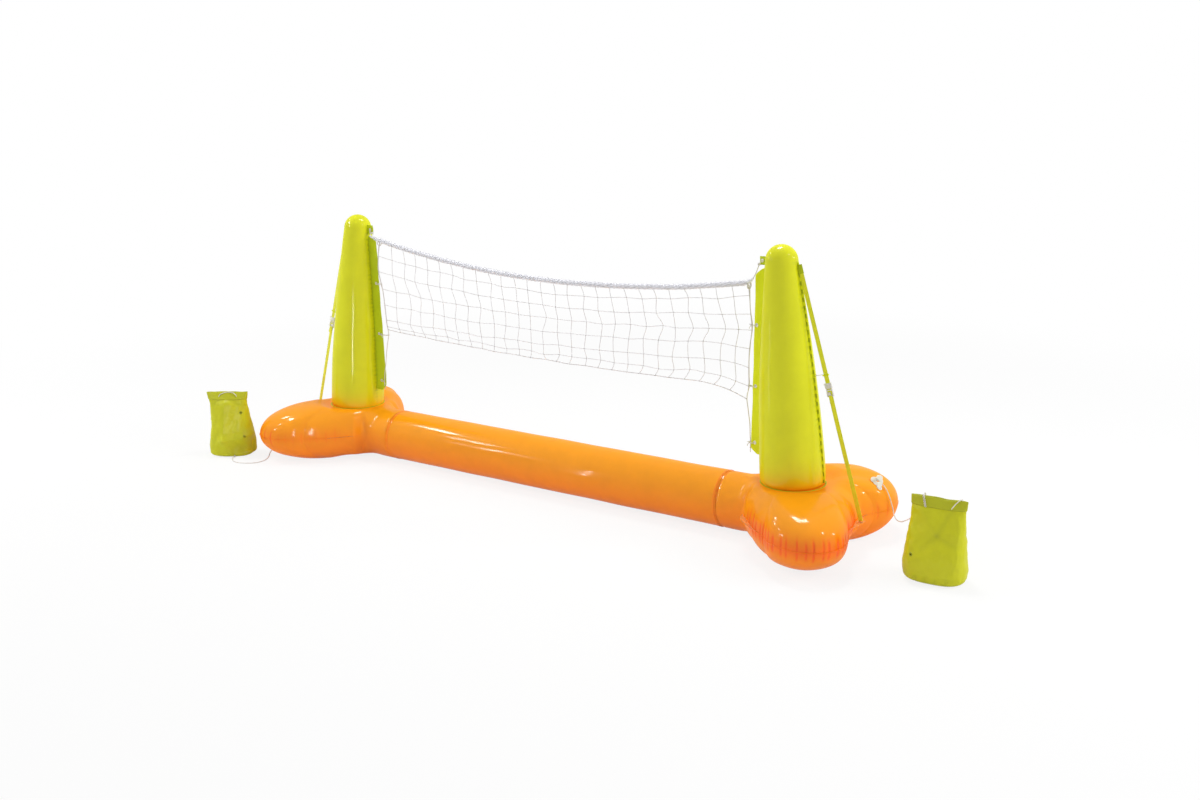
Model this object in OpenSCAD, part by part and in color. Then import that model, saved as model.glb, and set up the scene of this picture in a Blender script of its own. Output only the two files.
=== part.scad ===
// Floating volleyball net: an air-filled base bar with a lobed foot at each
// end, a tapered air-filled post on each foot, and a net hung between the posts.
// The origin is on the ground under the middle of the bar. X runs along the bar,
// Y across it and Z up. The right side is drawn and the left side mirrors it.

/* [Base] */
// Radius of the base bar
bar_r = 91; // [80:1:95]
// Distance from the middle of the bar to each end weld
bar_half = 700; // [600:10:750]
// Depth of the flat that the bar rests on
rest_cut = 0.5; // [0.3:0.1:1.5]
// Width of the weld band round each end of the bar
weld_w = 9; // [5:1:15]
// Height of a weld band above the skin
weld_t = 0.8; // [0.4:0.1:1.5]

/* [Feet] */
// Distance from the middle of the bar to each post
post_x = 921; // [900:1:960]
// Distance from the post to the lobe centres along the bar
lobe_x = 140; // [125:1:150]
// Distance from the bar's line to the lobe centres
lobe_y = 186; // [175:1:195]
// Radius of a lobe seen from above
lobe_r = 130; // [120:1:140]
// Distance from the post to the valley between the lobes
valley_r = 208; // [195:1:225]
// Distance from the post to the corner web beside the bar
corner_r = 166; // [155:1:180]
// Height of the seam between the two sheets of a foot
seam_z = 98; // [94:1:104]
// Height that each sheet puffs away from the seam
puff = 104; // [96:1:110]
// Height of the seat under the post
seat_z = 186; // [180:1:192]
// Radius of the seat under the post
seat_r = 104; // [102:1:110]
// Clearance under the middle of a foot
under_z = 12; // [5:1:20]
// Thickness of the seam flange round a foot
flange_t = 1; // [0.6:0.1:2]
// Width of the seam flange on the lobes
flange_w = 4; // [3:0.5:8]
// Extra width of the seam flange in the valley and the corners
flange_web = 22; // [8:1:26]

/* [Posts] */
// Lean of each post towards the net, in degrees
post_lean = 4; // [2:0.5:6]
// Radius of a post near its foot
post_r_low = 100; // [90:1:102]
// Radius of a post under its dome
post_r_high = 49; // [44:1:56]
// Length of a post from its seat to the middle of its dome
post_len = 677; // [640:1:700]
// Radius of the rounded lower edge of a post
post_edge = 22; // [14:1:26]
// Power of the curve that the post narrows along
post_curve = 1.6; // [1.2:0.1:2]
// Height of the weld ring round the foot of a post
ring_t = 1.4; // [0.8:0.2:3]
// Width of the seam fin on the outer side of a post
fin_w = 9; // [6:1:12]
// Thickness of the seam fin
fin_t = 1.2; // [0.8:0.1:2]

/* [Net flaps] */
// Distance from a post's line to the free edge of its net flap
flap_reach = 146; // [138:1:150]
// Thickness of a net flap and its tab
flap_t = 1.2; // [0.8:0.1:2]
// Height of the lowest point of a flap
flap_low = 254; // [245:1:260]
// Height of the tab's upper edge above the middle of the post's dome
tab_rise = 12.6; // [9:0.1:18]
// Height of the tab
tab_h = 33; // [28:0.5:36]
// Gap between the tab and the top of the flap
tab_gap = 7; // [3:0.5:10]
// Length of the tab from the post
tab_len = 28; // [26:1:34]
// Slope cut off each free corner of a flap
flap_cut = 22; // [14:1:30]
// Distance from the flap's free edge to the eyelets
eyelet_in = 12; // [10:1:16]
// Radius of the hole through an eyelet
eyelet_hole = 3.2; // [2.4:0.1:3.6]
// Outer radius of an eyelet's barrel
eyelet_barrel = 4.2; // [3.9:0.1:4.6]
// Outer radius of an eyelet's rims
eyelet_rim = 7; // [6:0.5:8]
// Thickness of each eyelet rim
eyelet_t = 0.9; // [0.6:0.1:1.4]
// Distance of the upper eyelet below the top of the flap
eyelet_drop = 174; // [144:5:204]
// Height of the eyelet by the net's lower corner
eyelet_corner = 470; // [450:5:490]
// Distance of the lowest eyelet above the flap's lower end
eyelet_rise = 36; // [30:1:56]

/* [Net] */
// Gap between a side of the net and the free edge of its flap
net_gap = 18; // [17:1:30]
// Number of gaps along the net
net_cols = 27; // [20:1:30]
// Number of gaps down the net
net_rows = 7; // [5:1:8]
// Thickness of the net's twine
twine = 2.4; // [1.6:0.2:3]
// Distance of the top rope's lowest point below the top of the flaps
rope_drop = 100; // [86:1:112]
// Distance of that lowest point from the middle
rope_shift = 90; // [0:5:120]
// Rise of the top rope between its lowest point and the right end
rope_rise = 54; // [30:1:60]
// Radius of the top rope
rope_r = 9.5; // [7:0.5:11]
// Distance of the bottom line's lowest point below the rope's
net_h = 276; // [260:1:284]
// Distance of that lowest point from the middle
hem_shift = 250; // [150:10:300]
// Rise of the bottom line at the left end
hem_rise = 32; // [15:1:40]
// Drop of the bottom line at the right corner
corner_drop = 40; // [20:1:45]
// Radius of the lacing cords
lace_r = 1.5; // [1:0.1:1.6]
// Radius of the cord in a tie
tie_r = 1.2; // [0.8:0.1:1.3]

/* [Straps] */
// Width of a guy strap
strap_w = 14; // [10:1:18]
// Thickness of a guy strap
strap_t = 1.2; // [0.8:0.1:1.6]
// Distance below the middle of the post's dome where a strap leaves the post
strap_drop = 20.4; // [16:0.1:40]
// Distance from a post's line to the lower end of its strap
strap_reach = 225; // [219:1:229]
// Height of the buckle's middle
buckle_z = 490; // [440:5:495]
// Length of the buckle along the strap
buckle_len = 42; // [30:1:46]
// Thickness of each face of the buckle
buckle_face = 1.8; // [1.4:0.1:2.6]
// Thickness of the buckle's side rails
buckle_rail = 4; // [3:0.5:6]
// Clearance between strap and buckle on each side
buckle_gap = 0.3; // [0.2:0.05:0.5]
// Length of the loose strap end below the buckle
tail_len = 24; // [15:1:35]
// Distance of the keeper link above the buckle's upper end
keeper_gap = 24; // [23:1:40]
// Thickness of the patches at a strap's ends
patch_t = 1.2; // [1:0.1:2]
// Length of the patch on the post
patch_len = 28; // [22:1:34]
// Length of the patch on the foot
foot_patch_len = 26; // [20:1:32]
// Height of the keeper's loop
keeper_h = 4; // [3:0.5:6]

/* [Anchor bags] */
// Height of an anchor bag
bag_h = 243; // [220:1:270]
// Half width of a bag at its base
bag_w = 78; // [70:1:85]
// Half depth of a bag at its base
bag_d = 62; // [50:1:70]
// Half width of a bag's mouth
mouth_w = 80; // [70:1:85]
// Half depth of a bag's mouth
mouth_d = 24; // [18:1:40]
// Thickness of a bag's wall
bag_t = 1.6; // [1.2:0.1:2.4]
// Height of the band round a bag's mouth
hem_h = 26; // [14:1:34]
// Thickness of that band
hem_t = 1.6; // [1:0.1:2.4]
// Radius of the tether cords
tether_r = 1.5; // [1.2:0.1:2]
// Width of a tether's heart-shaped tab
tether_patch_w = 38; // [34:1:42]
// Radius of the hole in that tab
tether_hole = 2.5; // [2.2:0.1:3]
// Thickness of that tab
tab_t = 2.6; // [1.6:0.1:3.4]

/* [Valves] */
// Radius of a valve's flange
valve_r = 15; // [13.5:0.5:18]
// Thickness of a valve's flange
valve_t = 1.5; // [1:0.1:2]
// Radius of a valve's bore
valve_bore = 4.5; // [4:0.1:4.8]
// Wall round a valve's bore
valve_wall = 2.5; // [2:0.1:3]
// Height of a valve's lip above its flange
lip_h = 4; // [3.5:0.5:5]
// Depth of a valve's barrel inside the skin
barrel_h = 18; // [12:1:24]
// Radius of a plug's pin at its tip
pin_tip = 3.2; // [2.6:0.1:3.3]
// Length of a plug's pin
pin_len = 5; // [3:0.5:5]
// Distance from a valve's axis to the plug's hinge
hinge_x = 12.5; // [12:0.1:12.8]
// Radius of the hinge barrel
hinge_r = 1.2; // [1:0.1:1.3]
// Running clearance of the hinge
hinge_gap = 0.05; // [0.02:0.01:0.1]
// Distance of the bar's valve from the middle
bar_valve_x = 430; // [300:10:550]
// Angle of the bar's valve above the horizontal
bar_valve_a = 35; // [15:1:60]
// Distance of a post's valve above its seat
post_valve_t = 110; // [60:5:200]

/* [Hidden] */
$fn = 64;

lime = [0.80, 0.82, 0.12];
lime_dark = [0.68, 0.74, 0.16];
orange = [0.96, 0.58, 0.10];
cream = [0.93, 0.92, 0.86];
clear = [0.96, 0.82, 0.70];

bar_z = bar_r - rest_cut;          // height of the bar's axis
flap_x = post_x - flap_reach;      // free edge of a net flap
net_half = flap_x - net_gap;       // half width of the net
strap_foot_x = post_x + strap_reach;
end_dist = post_x - bar_half;      // post axis to the bar's end weld
end_a = 180 - atan2(bar_r, end_dist);
lobe_a = atan2(lobe_y, lobe_x);
lobe_lo = lobe_a - 30;             // the round part of a lobe's edge
lobe_hi = lobe_a + 30;
corner_angle = 125;                // direction of the corner web
stub_angle = 135;                  // the bar's stub takes over from here
seat_blend = 60;                   // length over which the seat fades
puff_power = 4;
foot_rays = 56;
end_rays = 16;
foot_rings = 8;
valley_dip = 8;                    // the skin is this much flatter in the valley
corner_dip = 10;                   // and this much flatter in the corners
sink = 0.6;                        // depth that welded skins sink into each other

// ---------------------------------------------------------------- tubes
// Frame at point i of a path: two unit vectors square to the run.
function unit(v) = v / norm(v);
function run_at(p, i) = unit(p[min(i + 1, len(p) - 1)] - p[max(i - 1, 0)]);
function side_at(p, i) = let (d = run_at(p, i), s = abs(d[1]) > 0.85 ? [1, 0, 0] : [0, 1, 0])
  unit(cross(d, s));
function ring_pts(p, i, r, n) = let (d = run_at(p, i), u = side_at(p, i), v = cross(d, u))
  [for (k = [0:n - 1]) p[i] + r * (cos(360 * k / n) * u + sin(360 * k / n) * v)];

// Closed tube of radius r along the points p, with n sides.
module tube(p, r, n = 8) {
  last = len(p) - 1;
  pts = concat([for (i = [0:last]) each ring_pts(p, i, r, n)], [p[0], p[last]]);
  walls = [for (i = [0:last - 1], k = [0:n - 1]) let (a = i * n + k, b = i * n + (k + 1) % n)
    each [[a, b + n, b], [a, a + n, b + n]]];
  caps = [for (k = [0:n - 1]) let (m = (k + 1) % n, e = last * n)
    each [[len(pts) - 2, k, m], [len(pts) - 1, e + m, e + k]]];
  polyhedron(pts, concat(walls, caps), convexity = 8);
}

// Points of a smooth run through the chosen points, with n steps in each gap.
function spline(p, n) = let (last = len(p) - 1) concat([for (i = [0:last - 1], k = [0:n - 1])
  let (a = p[max(i - 1, 0)], b = p[i], c = p[i + 1], d = p[min(i + 2, last)], t = k / n)
  (2 * b + (c - a) * t + (2 * a - 5 * b + 4 * c - d) * t * t
    + (3 * b - a - 3 * c + d) * t * t * t) / 2], [p[last]]);

module left() mirror([1, 0, 0]) children();

// ---------------------------------------------------------------- base
module bar_skin(r, from, to) translate([from, 0, bar_z]) rotate([0, 90, 0])
  cylinder(r = r, h = to - from);

// Frame of the bar's valve: Z points out of the skin, X along the bar.
module at_bar_valve() translate([bar_valve_x, 0, bar_z]) rotate([bar_valve_a - 90, 0, 0])
  translate([0, 0, bar_r - valve_seat]) children();

module base_bar() color(orange) difference() {
  bar_skin(bar_r, -bar_half, bar_half);
  translate([-bar_half - 1, -bar_r, -bar_r]) cube([2 * bar_half + 2, 2 * bar_r, bar_r]);
  at_bar_valve() valve_pocket();
}

module bar_weld_bands() color(orange) for (s = [-1, 1]) difference() {
  bar_skin(bar_r + weld_t, s * (bar_half - weld_w) - weld_w / 2, s * (bar_half - weld_w) + weld_w / 2);
  bar_skin(bar_r, s * bar_half - 3 * weld_w, s * bar_half + 3 * weld_w);
  translate([s * bar_half - 3 * weld_w, -2 * bar_r, -bar_r]) cube([6 * weld_w, 4 * bar_r, bar_r]);
}

// ---------------------------------------------------------------- feet
// Seen from above a foot is drawn by its reach from the post in each direction.
function fade(a, b, t) = let (s = min(max((t - a) / (b - a), 0), 1)) s * s * (3 - 2 * s);
function fold_a(a) = a > 180 ? 360 - a : abs(a);
function lobe_reach(a) = let (b = lobe_x * cos(a) + lobe_y * sin(a))
  b + sqrt(max(0, lobe_r * lobe_r - lobe_x * lobe_x - lobe_y * lobe_y + b * b));
function valley_reach(a) = let (t = a / lobe_lo)
  valley_r + (lobe_reach(lobe_lo) - valley_r) * t * t * (2 - t);
function corner_reach(a) = let (t = (a - lobe_hi) / (corner_angle - lobe_hi),
  r = lobe_reach(lobe_hi))
  r + (corner_r - r) * (1 - pow(1 - t, 1.6));
function neck_reach(a) = let (t = (a - corner_angle) / (end_a - corner_angle), w = fade(0, 0.8, t),
  side = bar_r / sin(a)) max(side, corner_r * (1 - w) + side * w);
function foot_reach(a) = a < lobe_lo ? valley_reach(a) : a <= lobe_hi ? lobe_reach(a)
  : a < corner_angle ? corner_reach(a) : a < end_a - 0.01 ? neck_reach(a) : -end_dist / cos(a);

// Height of the skin above the seam, and of the seam itself.
function stub_w(a) = fade(stub_angle, end_a, a);
function foot_puff(a, r) = let (p = puff - valley_dip * fade(30, 0, a)
  - corner_dip * fade(lobe_hi, corner_angle, a))
  p * sqrt(max(0, 1 - pow(min(r / foot_reach(a), 1), puff_power)));
function foot_h(a, r) = let (w = stub_w(a), y = r * sin(a))
  max(flange_t / 2, w * sqrt(max(0, bar_r * bar_r - y * y)) + (1 - w) * foot_puff(a, r));
function foot_mid(a) = stub_w(a) * bar_z + (1 - stub_w(a)) * seam_z;
function seat_w(a, r) = fade(0, min(seat_blend, foot_reach(a) - seat_r), r - seat_r);
function foot_top(a, r) = let (w = seat_w(a, r)) w * (foot_mid(a) + foot_h(a, r)) + (1 - w) * seat_z;
function foot_low(a, r) = let (w = seat_w(a, r))
  max(0, w * (foot_mid(a) - foot_h(a, r)) + (1 - w) * under_z);
function ray_r(a, k) = seat_r + (foot_reach(a) - seat_r) * sin(90 * k / foot_rings);

foot_angles = concat([for (i = [0:foot_rays]) -end_a + 2 * end_a * i / foot_rays],
  [for (k = [1:end_rays - 1]) 180 - atan2(bar_r * cos(180 * k / end_rays), end_dist)]);

module right_foot_shape() {
  n = len(foot_angles);
  m = foot_rings + 1;
  top = [for (a = foot_angles, k = [0:foot_rings]) let (f = fold_a(a), r = ray_r(f, k))
    [post_x + r * cos(a), r * sin(a), foot_top(f, r)]];
  low = [for (a = foot_angles, k = [0:foot_rings]) let (f = fold_a(a), r = ray_r(f, k))
    [post_x + r * cos(a), r * sin(a), foot_low(f, r)]];
  c = 2 * n * m;
  skin = [for (i = [0:n - 1], k = [0:foot_rings - 1]) let (p = i * m + k, q = ((i + 1) % n) * m + k,
    u = p + n * m, v = q + n * m)
    each [[p, q, q + 1], [p, q + 1, p + 1], [u, u + 1, v + 1], [u, v + 1, v]]];
  rim = [for (i = [0:n - 1]) let (p = i * m + foot_rings, q = ((i + 1) % n) * m + foot_rings)
    each [[p, q, q + n * m], [p, q + n * m, p + n * m]]];
  seats = [for (i = [0:n - 1]) let (p = i * m, q = ((i + 1) % n) * m)
    each [[c, q, p], [c + 1, p + n * m, q + n * m]]];
  polyhedron(concat(top, low, [[post_x, 0, seat_z], [post_x, 0, under_z]]),
    concat(skin, rim, seats), convexity = 6);
}

module right_foot() color(orange) right_foot_shape();
module left_foot() left() right_foot();

// Clear web outside the seam, widest in the valley and in the corners.
function web_w(a) = flange_w + flange_web * (1 - fade(0, lobe_lo, a)
  + fade(lobe_hi, corner_angle - 8, a) * (1 - fade(corner_angle - 6, stub_angle, a)));
module right_foot_flange() color(clear) translate([post_x, 0, seam_z - flange_t / 2])
  linear_extrude(flange_t) {
    rays = [for (a = foot_angles) if (abs(a) < stub_angle) a];
    polygon(concat([for (a = rays) (foot_reach(abs(a)) + web_w(abs(a))) * [cos(a), sin(a)]],
      [for (i = [len(rays) - 1:-1:0]) foot_reach(abs(rays[i])) * [cos(rays[i]), sin(rays[i])]]));
  }
module left_foot_flange() left() right_foot_flange();

// ---------------------------------------------------------------- posts
// In a post's own frame Z runs up its axis and X points away from the net.
module in_post() translate([post_x, 0, seat_z]) rotate([0, -post_lean, 0]) children();
function post_r(t) = let (s = min(max((t - post_edge) / (post_len - post_edge), 0), 1))
  post_r_high + (post_r_low - post_r_high) * (1 - pow(s, post_curve));
function in_world(x, t) = [post_x - t * sin(post_lean) + x * cos(post_lean),
  seat_z + t * cos(post_lean) + x * sin(post_lean)];
edge_low = 8;                      // the rounded edge starts this far below the seat
post_steps = 14;
post_ts = [for (i = [0:post_steps]) post_edge - edge_low
  + (post_len - post_edge + edge_low) * i / post_steps];

module post_shape() in_post() rotate_extrude() polygon(concat([[0, -edge_low]],
  [for (a = [-90:15:-15]) [post_r_low - post_edge + post_edge * cos(a),
    post_edge - edge_low + post_edge * sin(a)]],
  [for (t = post_ts) [post_r(t), t]],
  [for (a = [10:10:80]) [post_r_high * cos(a), post_len + post_r_high * sin(a)]],
  [[0, post_len + post_r_high]]));

foot_span = lobe_y + lobe_r;
module above(z) intersection() {
  children();
  translate([post_x - 3 * foot_span, -3 * foot_span, z]) cube(6 * foot_span);
}

module at_post_valve() in_post() translate([0, post_r(post_valve_t) - valve_seat, post_valve_t])
  rotate([-90, 0, 0]) children();

module right_post() color(lime) difference() {
  above(seat_z) post_shape();
  at_post_valve() valve_pocket();
}
module left_post() left() right_post();

module right_post_ring() color(lime_dark) difference() {
  translate([post_x, 0, seat_z]) cylinder(r = seat_r, h = ring_t);
  post_shape();
}
module left_post_ring() left() right_post_ring();

module right_post_fin() color(lime_dark) above(seat_z + ring_t) in_post() translate([0, fin_t / 2, 0])
  rotate([90, 0, 0]) linear_extrude(fin_t) {
    ts = [for (t = post_ts) if (t < post_len) t];
    polygon(concat([for (t = ts) [post_r(t) - sink, t]],
      [for (i = [len(ts) - 1:-1:0]) [post_r(ts[i]) + fin_w, ts[i]]]));
  }
module left_post_fin() left() right_post_fin();

// ---------------------------------------------------------------- net flaps
post_top = seat_z + post_len * cos(post_lean);
tab_high = post_top + tab_rise;
tab_low = tab_high - tab_h;
flap_high = tab_low - tab_gap;
eyelet_mid = flap_high - eyelet_drop;
eyelet_low = flap_low + eyelet_rise;
eyelet_x = flap_x + eyelet_in;
tab_mid = (tab_low + tab_high) / 2;
tab_x = in_world(-post_r((tab_mid - seat_z) / cos(post_lean)), (tab_mid - seat_z))[0];
eyelet_gap = 0.1;
function inner_edge(z0, z1, n) = [for (i = [0:n])
  let (t = (z0 + (z1 - z0) * i / n - seat_z) / cos(post_lean)) in_world(-post_r(t) + sink, t)];
tab_eyelet = [tab_x - tab_len / 2, tab_mid];
flap_eyelets = [for (z = [eyelet_low, eyelet_corner, eyelet_mid]) [eyelet_x, z]];

module upright(t) rotate([90, 0, 0]) translate([0, 0, -t / 2]) linear_extrude(t) children();

module right_net_flap() color(lime_dark) upright(flap_t) difference() {
  polygon(concat(inner_edge(flap_low, flap_high, 12),
    [[flap_x + flap_cut, flap_high], [flap_x, flap_high - flap_cut],
    [flap_x, flap_low + flap_cut], [flap_x + flap_cut, flap_low]]));
  for (e = flap_eyelets) translate(e) circle(eyelet_barrel + eyelet_gap);
}
module left_net_flap() left() right_net_flap();

module right_net_tab() color(lime_dark) upright(flap_t) difference() {
  polygon(concat(inner_edge(tab_low, tab_high, 3),
    [[tab_x - tab_len, tab_high], [tab_x - tab_len, tab_low]]));
  translate(tab_eyelet) circle(eyelet_barrel + eyelet_gap);
}
module left_net_tab() left() right_net_tab();

module eyelet() rotate([90, 0, 0]) rotate_extrude() polygon([
  [eyelet_hole, -flap_t / 2 - eyelet_t], [eyelet_rim, -flap_t / 2 - eyelet_t],
  [eyelet_rim, -flap_t / 2], [eyelet_barrel, -flap_t / 2], [eyelet_barrel, flap_t / 2],
  [eyelet_rim, flap_t / 2], [eyelet_rim, flap_t / 2 + eyelet_t], [eyelet_hole, flap_t / 2 + eyelet_t]]);
module right_eyelets() color(cream) for (e = concat(flap_eyelets, [tab_eyelet]))
  translate([e[0], 0, e[1]]) eyelet();
module left_eyelets() left() right_eyelets();

// ---------------------------------------------------------------- net
rope_low = flap_high - rope_drop;
hem_low = rope_low - net_h;
function rope_z(x) = rope_low + rope_rise * pow((x - rope_shift) / (net_half - rope_shift), 2);
function hem_z(x) = hem_low + hem_rise * pow((x - hem_shift) / (net_half + hem_shift), 2)
  - corner_drop * pow(max(0, (x - 0.75 * net_half) / (0.25 * net_half)), 2);
function knot(i, j) = let (x = -net_half + 2 * net_half * i / net_cols, v = j / net_rows,
  top = rope_z(x) - rope_r, z = top + (hem_z(x) - top) * v) [x + side_pull(x, z), 0, z];
// The end columns lie along the lacing cords and draw their neighbours with them.
function side_pull(x, z) = let (pts = [for (p = x < 0 ? left_lace : right_lace) [p[1], p[0]]],
  out = flap_x - lookup(z, pts) - lace_r - net_half) sign(x) * out * max(0, 4 * abs(x) / net_half - 3);

// One solid: a small block at each knot and a square twine in each gap.
module net_mesh() color(cream) {
  w = net_rows + 1;
  h = twine / 2;
  corners = [for (y = [-h, h], z = [-h, h], x = [-h, h]) [x, y, z]];
  pts = [for (i = [0:net_cols], j = [0:net_rows]) each [for (c = corners) knot(i, j) + c]];
  faces = [for (i = [0:net_cols], j = [0:net_rows]) let (o = 8 * (i * w + j),
    right = o + 8 * w, down = o + 8)
    each concat(quad(o, 0, 2, 3, 1), quad(o, 4, 5, 7, 6),
      i == net_cols ? quad(o, 1, 3, 7, 5)
        : link(o + 1, o + 3, o + 7, o + 5, right, right + 2, right + 6, right + 4),
      i == 0 ? quad(o, 0, 4, 6, 2) : [],
      j == net_rows ? quad(o, 0, 1, 5, 4)
        : link(o, o + 1, o + 5, o + 4, down + 2, down + 3, down + 7, down + 6),
      j == 0 ? quad(o, 2, 6, 7, 3) : [])];
  polyhedron(pts, faces, convexity = 20);
}
function quad(o, a, b, c, d) = [[o + a, o + b, o + c], [o + a, o + c, o + d]];
// Four walls between the edge loop a b c d and the loop e f g h across the gap.
function link(a, b, c, d, e, f, g, h) = concat(quad(0, a, b, f, e), quad(0, b, c, g, f),
  quad(0, c, d, h, g), quad(0, d, a, e, h));

rope_over = 6;                     // the rope passes the net's side by this much
rope_end = net_half + rope_over;
rope_steps = 44;
module top_rope() color(cream) tube([for (i = [0:rope_steps])
  let (x = -rope_end + 2 * rope_end * i / rope_steps) [x, 0, rope_z(x)]], rope_r, 10);

// The rope's thin end goes up to the tab's eyelet.
right_tie_pts = [[rope_end - 3, 0, rope_z(rope_end)], [rope_end + 5, 0, rope_z(rope_end) + 6],
  [flap_x - 1, -5, flap_high - 14], [tab_eyelet[0] - 9, -6, tab_eyelet[1] - 12],
  [tab_eyelet[0], -3, tab_eyelet[1]], [tab_eyelet[0], 3, tab_eyelet[1]]];
left_tie_pts = [for (p = right_tie_pts)
  [-p[0], p[1], p[0] < flap_x - 2 ? p[2] + rope_z(-rope_end) - rope_z(rope_end) : p[2]]];
module right_rope_tie() color(cream) tube(spline(right_tie_pts, 3), lace_r);
module left_rope_tie() color(cream) tube(spline(left_tie_pts, 3), lace_r);

// Lacing cord down each side of the net, from the rope to the lowest eyelet: each
// pair is the distance in from the flap's free edge and the height.
lace_in = 2.6;                     // the cord runs this far in where a short tie holds it
right_corner_in = 10;
left_mid_in = 13;
left_corner_in = 36;
right_lace = [[16, flap_high - 54], [14, flap_high - 69], [13, flap_high - 92],
  [10, flap_high - 129], [lace_in, eyelet_mid], [6, eyelet_mid - 40], [12, eyelet_mid - 100],
  [11, eyelet_corner + 40], [right_corner_in, eyelet_corner], [15, eyelet_corner - 25],
  [17, eyelet_corner - 46], [12, eyelet_corner - 75], [6, eyelet_low + 60],
  [4, eyelet_low + 25], [lace_in, eyelet_low], [2, eyelet_low - 18]];
left_lace = [[16, flap_high - 20.5], [9, flap_high - 50], [3.5, flap_high - 100],
  [4, flap_high - 135], [left_mid_in, eyelet_mid], [20, eyelet_mid - 28], [25, eyelet_mid - 80],
  [30, eyelet_corner + 45], [left_corner_in, eyelet_corner], [25, eyelet_corner - 45],
  [16, eyelet_low + 80], [7, eyelet_low + 30], [lace_in, eyelet_low], [2, eyelet_low - 18]];
module side_lace(pts) color(cream) tube(spline([for (p = pts) [flap_x - p[0], 0, p[1]]], 2), lace_r);
module right_side_lace() side_lace(right_lace);
module left_side_lace() left() side_lace(left_lace);

// Loop through an eyelet and round the lacing cord, longer where the cord hangs away.
tie_out = 10.5;                    // a short tie passes the flap's edge by this much
tie_ring = (eyelet_in + tie_out) / 2;
tie_steps = 28;
module tie(in, z) {
  half = tie_ring + (in - lace_in) / 2;
  middle = flap_x + eyelet_in - half;
  if (in == lace_in) translate([middle, 0, z]) rotate_extrude()
    translate([tie_ring, 0]) circle(tie_r, $fn = 16);
  else tube([for (k = [0:tie_steps]) let (a = 1 + 358 * k / tie_steps)
    [middle + half * cos(a), tie_ring * sin(a), z]], tie_r);
}
module right_net_ties() color(cream) {
  tie(lace_in, eyelet_mid);
  tie(right_corner_in, eyelet_corner);
  tie(lace_in, eyelet_low);
}
module left_net_ties() color(cream) left() {
  tie(left_mid_in, eyelet_mid);
  tie(left_corner_in, eyelet_corner);
  tie(lace_in, eyelet_low);
}

// ---------------------------------------------------------------- guy straps
function fin_edge(z) = let (t = (z - seat_z) / cos(post_lean)) in_world(post_r(t) + fin_w, t)[0];
strap_high = post_top - strap_drop;
strap_top_x = fin_edge(strap_high);
pad_z = seam_z + flange_t / 2 + patch_t;
strap_a = atan2(strap_foot_x - strap_top_x, strap_high - pad_z);
strap_len = (strap_high - pad_z) / cos(strap_a);
keeper_z = buckle_z + (buckle_len / 2 + keeper_gap) * cos(strap_a);
strap_y = -fin_t / 2 - strap_t / 2;   // the strap lies on the front of the fin

// Frame on a strap at height z: Z runs up the strap, X away from the post.
module on_strap(z) translate([strap_top_x + (strap_high - z) * tan(strap_a), strap_y, z])
  rotate([0, -strap_a, 0]) children();
module block(x, y, z) translate([-x / 2, -y / 2, -z / 2]) cube([x, y, z]);

strap_over = 12;                   // the strap's end passes its weld by this much
module right_guy_strap() color(lime) above(pad_z) on_strap(strap_high)
  translate([-strap_w / 2, -strap_t / 2, -strap_len - strap_w])
  cube([strap_w, strap_t, strap_len + strap_w + strap_over]);
module left_guy_strap() left() right_guy_strap();

pass_w = strap_w + 2 * buckle_gap; // the way through a buckle for its strap
pass_t = strap_t + 2 * buckle_gap;
buckle_w = pass_w + 2 * buckle_rail;
buckle_t = pass_t + 2 * buckle_face;
buckle_slot = (buckle_len - 3 * buckle_rail) / 2;
module right_buckle() color(cream) on_strap(buckle_z) difference() {
  block(buckle_w, buckle_t, buckle_len);
  block(pass_w, pass_t, buckle_len + pass_t);
  for (s = [-1, 1]) translate([0, 0, s * (buckle_slot + buckle_rail) / 2])
    block(pass_w, buckle_t + pass_t, buckle_slot);
}
module left_buckle() left() right_buckle();

module right_strap_tail() color(lime) on_strap(buckle_z)
  translate([-strap_w / 2 + 1, -buckle_t / 2 - strap_t, -buckle_len / 2 - tail_len + buckle_rail])
  cube([strap_w - 2, strap_t, tail_len]);
module left_strap_tail() left() right_strap_tail();

// Loop round the strap with an arm welded to the fin.
keeper_w = pass_w + 6;
keeper_lap = 5;                    // lap of the arm on the fin
module right_keeper() color(cream) {
  arm_x = fin_edge(keeper_z) - keeper_lap;
  loop_x = strap_top_x + (strap_high - keeper_z) * tan(strap_a)
    - (keeper_w / 2 - sink) / cos(strap_a);
  on_strap(keeper_z) difference() {
    block(keeper_w, buckle_t, keeper_h);
    block(pass_w, pass_t, keeper_h + pass_t);
  }
  translate([arm_x, strap_y - strap_t / 2, keeper_z - keeper_h / 2])
    cube([loop_x - arm_x, strap_t, keeper_h]);
}
module left_keeper() left() right_keeper();

patch_edge = 1.5;
module right_strap_post_patch() color(lime_dark) on_strap(strap_high)
  translate([patch_edge - strap_w / 2, -strap_t / 2 - patch_t, -patch_len / 2])
  cube([strap_w, patch_t, patch_len]);
module left_strap_post_patch() left() right_strap_post_patch();

module right_strap_foot_patch() color(clear)
  translate([strap_foot_x - strap_w / 2 - patch_edge, -foot_patch_len / 2, seam_z + flange_t / 2])
  cube([strap_w + 2 * patch_edge, foot_patch_len, patch_t]);
module left_strap_foot_patch() left() right_strap_foot_patch();

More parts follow.
